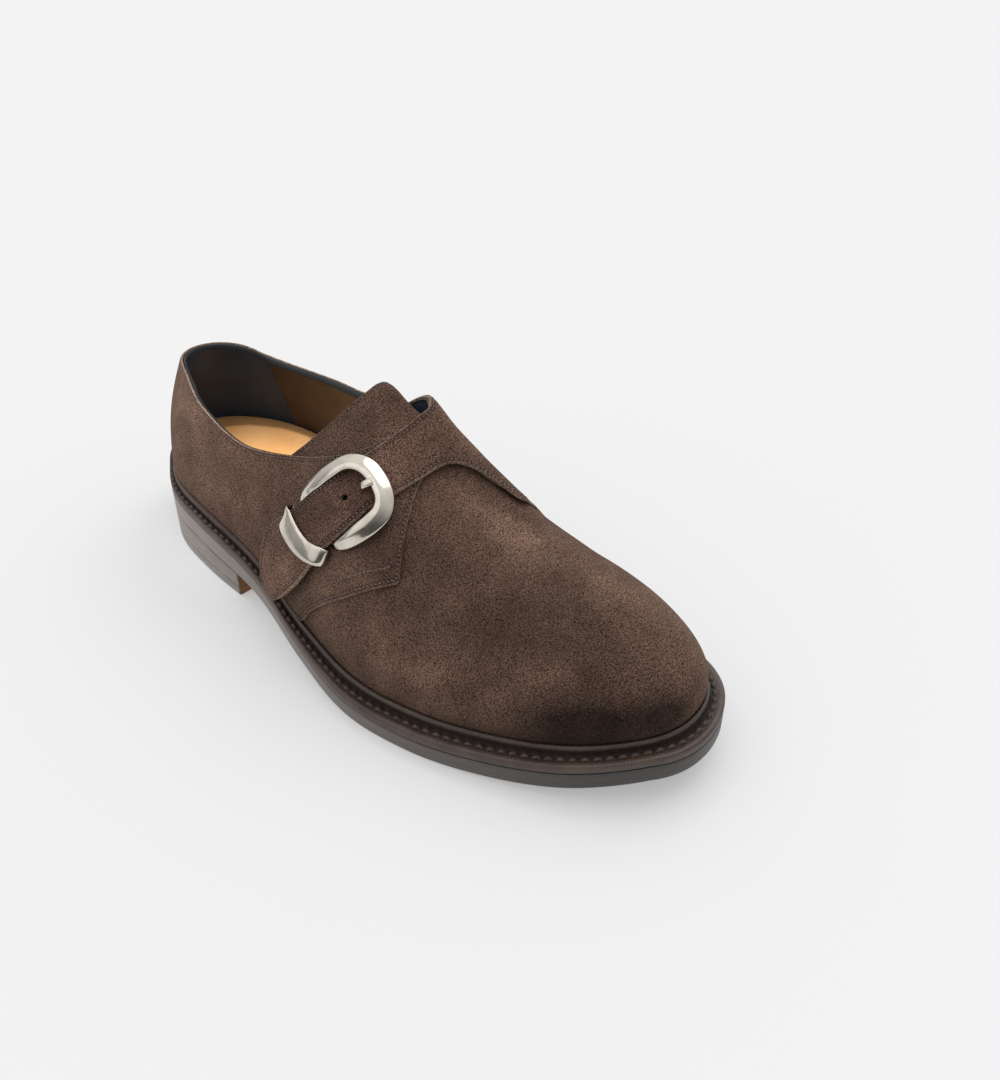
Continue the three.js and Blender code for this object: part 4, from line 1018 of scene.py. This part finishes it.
def make_heel():
    """The heel's painted stack, its rubber top piece painted like it, and the bare cut breast."""
    stack = heel_rings([
        (0.45, above(ground, TOP_PIECE)), (0.05, above(ground, TOP_PIECE + 0.25)),
        (0.0, above(ground, TOP_PIECE + 0.8)), (0.0, above(sole_bottom, -0.6)),
        (0.25, above(sole_bottom, -0.1))])
    piece = heel_rings([
        (1.0, ground), (0.3, above(ground, 0.2)), (0.0, above(ground, 0.8)),
        (0.0, above(ground, TOP_PIECE - 0.4)), (0.2, above(ground, TOP_PIECE - 0.15))])
    for name, rings, slot, solid in (("heel_stack_edge", stack, "heel_leather", "heel_stack"),
                                     ("heel_top", piece, "heel_rubber", "heel_top_piece")):
        make_piece(name, rings, capped_faces(*rings.shape[:2]), SOLE_EDGE, replaces=(solid,),
                   uv=rings_uv(rings), sharp=40)
    left, right = stack[-2, 0], stack[-2, -1]
    across = np.linspace(0.01, 0.99, 40)[None, :, None]
    heights = np.linspace(0, 1, 12)[:, None, None]
    face = (left * (1 - across) + right * across) * np.ones_like(heights)
    face[..., 2] = 0.3 + heights[..., 0] * (face[..., 2] - 0.4)
    face[..., 1] -= 0.4
    points, faces = two_sided(face, face + np.array([0, 0.6, 0]))
    make_piece("heel_breast", points, faces, BREAST_LEATHER, sharp=40)


# Section of the storm welt. The bead by the upper: distance out and height over the welt's top in mm.
# Then the channel and the flat: share of the way from the bead to the edge, height, and how much painted
# shade darkens it: in the channel, under the stitches and under the edge.
WELT_BEAD = [
    (0.0, -WELT_HEIGHT + 0.3), (0.0, 3.2), (0.3, 4.0), (0.8, 4.35), (1.4, 4.2), (1.8, 3.6), (1.95, 3.0),
    (1.75, 2.2), (1.8, 1.0)]
BEAD_FOOT = 1.95
WELT_FLAT = [
    (0.01, 0.1, 0.8), (0.05, -0.2, 1.0), (0.12, -0.1, 1.0), (0.20, 0.1, 0.7), (0.50, 0.1, 0.7),
    (0.58, 0.15, 0.3), (0.64, 0.3, 0.0), (0.84, 0.32, 0.0), (0.94, 0.08, 0.0), (1.0, -0.5, 0.0),
    (1.0, -WELT_HEIGHT + 0.9, 0.2), (0.98, -WELT_HEIGHT + 0.35, 0.8), (0.92, -WELT_HEIGHT + 0.15, 0.9)]
STITCH_PLACE = 0.34


def make_welt():
    """The storm welt: its section carried round the feather line, wider at the front than at the heel."""
    angle = even_angles()
    room = overhang(angle) - BEAD_FOOT
    # The bead's own darker tone, and painted shade on its lower wall under the overhang
    table = [(out + 0 * room, up, 0.35 + 0.5 * (up < 2.5)) for out, up in WELT_BEAD]
    table += [(BEAD_FOOT + room * share, up, dark) for share, up, dark in WELT_FLAT]
    rings = np.array([beside(angle, out, above(welt_top, up)) for out, up, _ in table])
    dark = np.array([row[2] for row in table])[:, None] + np.zeros((1, AROUND))
    make_piece("storm_welt", rings, ring_faces(rings), WELT_LEATHER, replaces=("welt",),
               uv=rings_uv(rings), marks={"channel": dark}, sharp=60)


def welt_stitches():
    """Thick lock stitches in the welt's channel, all the way round."""
    angle = np.linspace(0, 2 * math.pi, 1441)
    out = BEAD_FOOT + (overhang(angle) - BEAD_FOOT) * STITCH_PLACE
    line = beside(angle, out, above(welt_top, 0.1))
    ways = np.zeros_like(line)
    ways[:, 2] = 1
    return thread_run("welt_stitches", [(line, ways)], WELT_THREAD, pitch=4.35, wide=1.8,
                      fill=0.92, sunk=-0.3)


def make_insole():
    """The sock over the insole, slightly dished, and its edge inside the lining."""
    angle = even_angles(360)
    insets = [-UPPER_WALL - 0.35, -UPPER_WALL - 0.35, -UPPER_WALL - 0.9, -6.0, -12.0, -18.0]
    ups = [-2.0, 2.0, 2.45, 2.2, 1.9, 1.75]
    rings = np.array([beside(angle, inset, above(feather_height, up)) for inset, up in zip(insets, ups)])
    make_piece("sock", rings, capped_faces(len(rings), 360), SOCK_LEATHER,
               replaces=("insole",), sharp=60)


# The buckle


def swept(line, section, count, closed, seat, width_way=None):
    """A section carried along a smooth line on the upper: rows give place, share down, height over the
    seat, width and thickness, and the section is shares of half the width and half the thickness."""
    rows = np.array(line, float)
    centres = at_place(rows[:, 0], rows[:, 1], seat + rows[:, 2])
    normals = at_place(rows[:, 0], rows[:, 1], 1.0) - at_place(rows[:, 0], rows[:, 1], 0.0)
    data = through(np.concatenate([centres, normals, rows[:, 3:5]], 1), count, closed)
    centre, normal, size = data[:, :3], data[:, 3:6], data[:, 6:8]
    if closed:
        tangent = np.roll(centre, -1, 0) - np.roll(centre, 1, 0)
    else:
        tangent = np.gradient(centre, axis=0)
    tangent /= np.linalg.norm(tangent, axis=1, keepdims=True)
    wide = np.cross(normal, tangent) if width_way is None else width_way + 0 * centre
    wide -= tangent * (wide * tangent).sum(1, keepdims=True)
    wide /= np.linalg.norm(wide, axis=1, keepdims=True)
    thick = np.cross(tangent, wide)
    if width_way is None:
        thick *= np.sign((thick * normal).sum(1, keepdims=True))
    section = np.asarray(section, float)
    return (centre[:, None] + wide[:, None] * (section[None, :, :1] * size[:, None, :1] / 2)
            + thick[:, None] * (section[None, :, 1:] * size[:, None, 1:] / 2))


def domed_section(count, flat):
    """Round section with a flatter back: cosine and sine, each to a power below one."""
    turn = np.arange(count) / count * 2 * math.pi
    w = np.sign(np.cos(turn)) * np.abs(np.cos(turn)) ** 0.6
    t = np.sign(np.sin(turn)) * np.abs(np.sin(turn)) ** 0.8
    return np.stack([w, np.where(t < 0, t * flat, t)], -1)


# Section of the frame, as shares of half its width and half its thickness: a flat crest along the
# inner side and a long slope to the outer edge
FRAME_SECTION = [
    (-1.0, -0.6), (-1.0, 0.1), (-0.97, 0.55), (-0.88, 0.88), (-0.72, 1.0), (-0.45, 1.02), (-0.18, 0.98),
    (0.15, 0.72), (0.50, 0.36), (0.82, 0.0), (0.95, -0.2), (1.0, -0.42), (0.96, -0.68), (0.8, -0.8),
    (0.0, -0.8), (-0.8, -0.8), (-0.95, -0.74)]


def make_buckle():
    """Frame, prong and keeper, each a section carried along its line on the strap."""
    seat = QUARTER_LAYER + SEAM_GAP
    rings = swept(BUCKLE_LINE, through(FRAME_SECTION, 51, closed=True), 260, True, seat)
    make_piece("buckle", rings, ring_faces(rings), NICKEL,
               replaces=("buckle_frame",), sharp=45)
    rings = swept([row + (3.1, 2.0) for row in PRONG_LINE], domed_section(16, 0.9), 80, False, seat)
    rings[-1] = rings[-1].mean(0) + (rings[-1] - rings[-1].mean(0)) * 0.75
    n = rings.shape[1]
    caps = [np.arange(n)[None, ::-1], (np.arange(n) + (len(rings) - 1) * n)[None]]
    make_piece("prong", rings, [grid_faces(len(rings), n, wrap_columns=True)] + caps, NICKEL,
               replaces=("buckle_prong",), sharp=50)
    up_strap = at_place(0.487, 0.60) - at_place(0.487, 0.70)
    rings = swept([row + (1.5,) for row in KEEPER_LINE], domed_section(24, 0.9), 200, True, seat,
                  up_strap / np.linalg.norm(up_strap))
    make_piece("keeper", rings, ring_faces(rings), NICKEL,
               replaces=("keeper_loop",), sharp=60)


# The studio

CAMERA_AZIMUTH, CAMERA_HEIGHT_ANGLE = -47.4, 36.2
CAMERA_DISTANCE = 512.0
CAMERA_TARGET = np.array([62.7, 0.3, 0.0])
FOCAL_PIXELS, PHOTO_WIDTH, PHOTO_HEIGHT = 1094.0, 1000, 1080
# Half the side of the floor, in metres
FLOOR_HALF = 60.0


def make_camera():
    """The photograph's camera: its distance and angles round a target on the floor. The sensor's
    width goes with the photograph's long side."""
    a, e = math.radians(CAMERA_AZIMUTH), math.radians(CAMERA_HEIGHT_ANGLE)
    back = np.array([math.sin(a) * math.cos(e), -math.cos(a) * math.cos(e), math.sin(e)])
    data = bpy.data.cameras.new("photo_camera")
    data.sensor_width = 36.0
    data.lens = FOCAL_PIXELS / max(PHOTO_WIDTH, PHOTO_HEIGHT) * data.sensor_width
    data.clip_start, data.clip_end = 0.01, 20
    camera = bpy.data.objects.new("photo_camera", data)
    bpy.context.collection.objects.link(camera)
    right = np.array([math.cos(a), math.sin(a), 0.0])
    up = np.cross(back, right)
    spot = to_frame(CAMERA_TARGET + back * CAMERA_DISTANCE)[0]
    matrix = np.eye(4)
    matrix[:3, 0], matrix[:3, 1], matrix[:3, 2], matrix[:3, 3] = right, up, back, spot
    camera.matrix_world = Matrix(matrix.tolist())
    bpy.context.scene.camera = camera


def soft_sun(name, way, spread, power, colour):
    """A wide, even light: the direction that it comes from, its angle across, and its strength."""
    data = bpy.data.lights.new(name, "SUN")
    data.angle = math.radians(spread)
    data.energy = power
    data.color = linear(colour)[:3]
    lamp = bpy.data.objects.new(name, data)
    bpy.context.collection.objects.link(lamp)
    lamp.rotation_mode = "QUATERNION"
    lamp.rotation_quaternion = Vector([-c for c in way]).to_track_quat("-Z", "Y")


def make_studio():
    """A plain pale light table, lit a little from below so that shadows stay soft, a pale surround, a
    wide light from behind and to the right of the picture, a weaker one from the left, and a small
    one over the opening."""
    floor_mesh = bpy.data.meshes.new("floor")
    half = FLOOR_HALF
    floor_mesh.from_pydata([(-half, -half, 0), (half, -half, 0), (half, half, 0), (-half, half, 0)], [],
                           [(0, 1, 2, 3)])
    floor = bpy.data.objects.new("floor", floor_mesh)
    bpy.context.collection.objects.link(floor)
    table = finish(new_material("lit_acrylic"), Base_Color=linear("c0c0c0"), Roughness=0.95,
                   Specular_IOR_Level=0.0, Emission_Color=linear("ffffff"), Emission_Strength=0.34)
    floor_mesh.materials.append(table)
    world = bpy.data.worlds.new("studio")
    bpy.context.scene.world = world
    world.use_nodes = True
    sky = world.node_tree.nodes["Background"]
    way = node(world, "TexCoord", out="Generated")
    height = node(world, "VectorMath", {"operation": "DOT_PRODUCT"}, out="Value",
                  _0=way, _1=(0.45, 0.32, 0.83))
    glow = node(world, "MapRange", Value=height, _1=-0.35, _2=1.0, _3=0.10, _4=1.15)
    world.node_tree.links.new(glow, sky.inputs["Strength"])
    sky.inputs["Color"].default_value = linear("fefeff")
    soft_sun("key_light", (0.83, 0.18, 1.55), 50, 0.70, "fffdfa")
    soft_sun("left_light", (-0.85, 0.30, 0.60), 60, 0.42, "fdfdff")
    data = bpy.data.lights.new("opening_light", "SPOT")
    data.spot_size = math.radians(9.5)
    data.spot_blend = 0.8
    data.shadow_soft_size = 0.03
    data.energy = 12.0
    lamp = bpy.data.objects.new("opening_light", data)
    bpy.context.collection.objects.link(lamp)
    lamp.location = (-0.03, 0.13, 0.52)
    lamp.rotation_mode = "QUATERNION"
    lamp.rotation_quaternion = (Vector((0.004, 0.085, 0.03)) - lamp.location).to_track_quat("-Z", "Y")
    bpy.context.scene.view_settings.view_transform = "Standard"


make_camera()
make_studio()
make_vamp()
OUTER = outer_quarter()
INNER = strap_and_inner_quarter()
TONGUE = tongue_panel()
OUTER.build("outer_quarter", UPPER_SUEDE, "upper_suede")
INNER.build("strap_and_inner_quarter", STRAP_SUEDE, "strap_suede", replaces=("strap",))
TONGUE.build("tongue_leather", UPPER_SUEDE, "upper_suede", replaces=("tongue",))
make_lining()
make_strap_lining()
make_outsole()
make_heel()
make_welt()
welt_stitches()
make_insole()
make_buckle()
thread_run("upper_stitches", [
    OUTER.line("from_upper", COLLAR_INSET, 0, 0.84), OUTER.line("from_lower", STITCH_INSET, 0.49, 0.90),
    OUTER.line("from_lower", SECOND_INSET, 0.49, 0.70),
    INNER.line("from_upper", STITCH_INSET), INNER.line("from_lower", STITCH_INSET, 0.25),
    INNER.line("from_lower", SECOND_INSET, 0.25, 0.40),
    TONGUE.line("from_upper", COLLAR_INSET)], UPPER_THREAD)
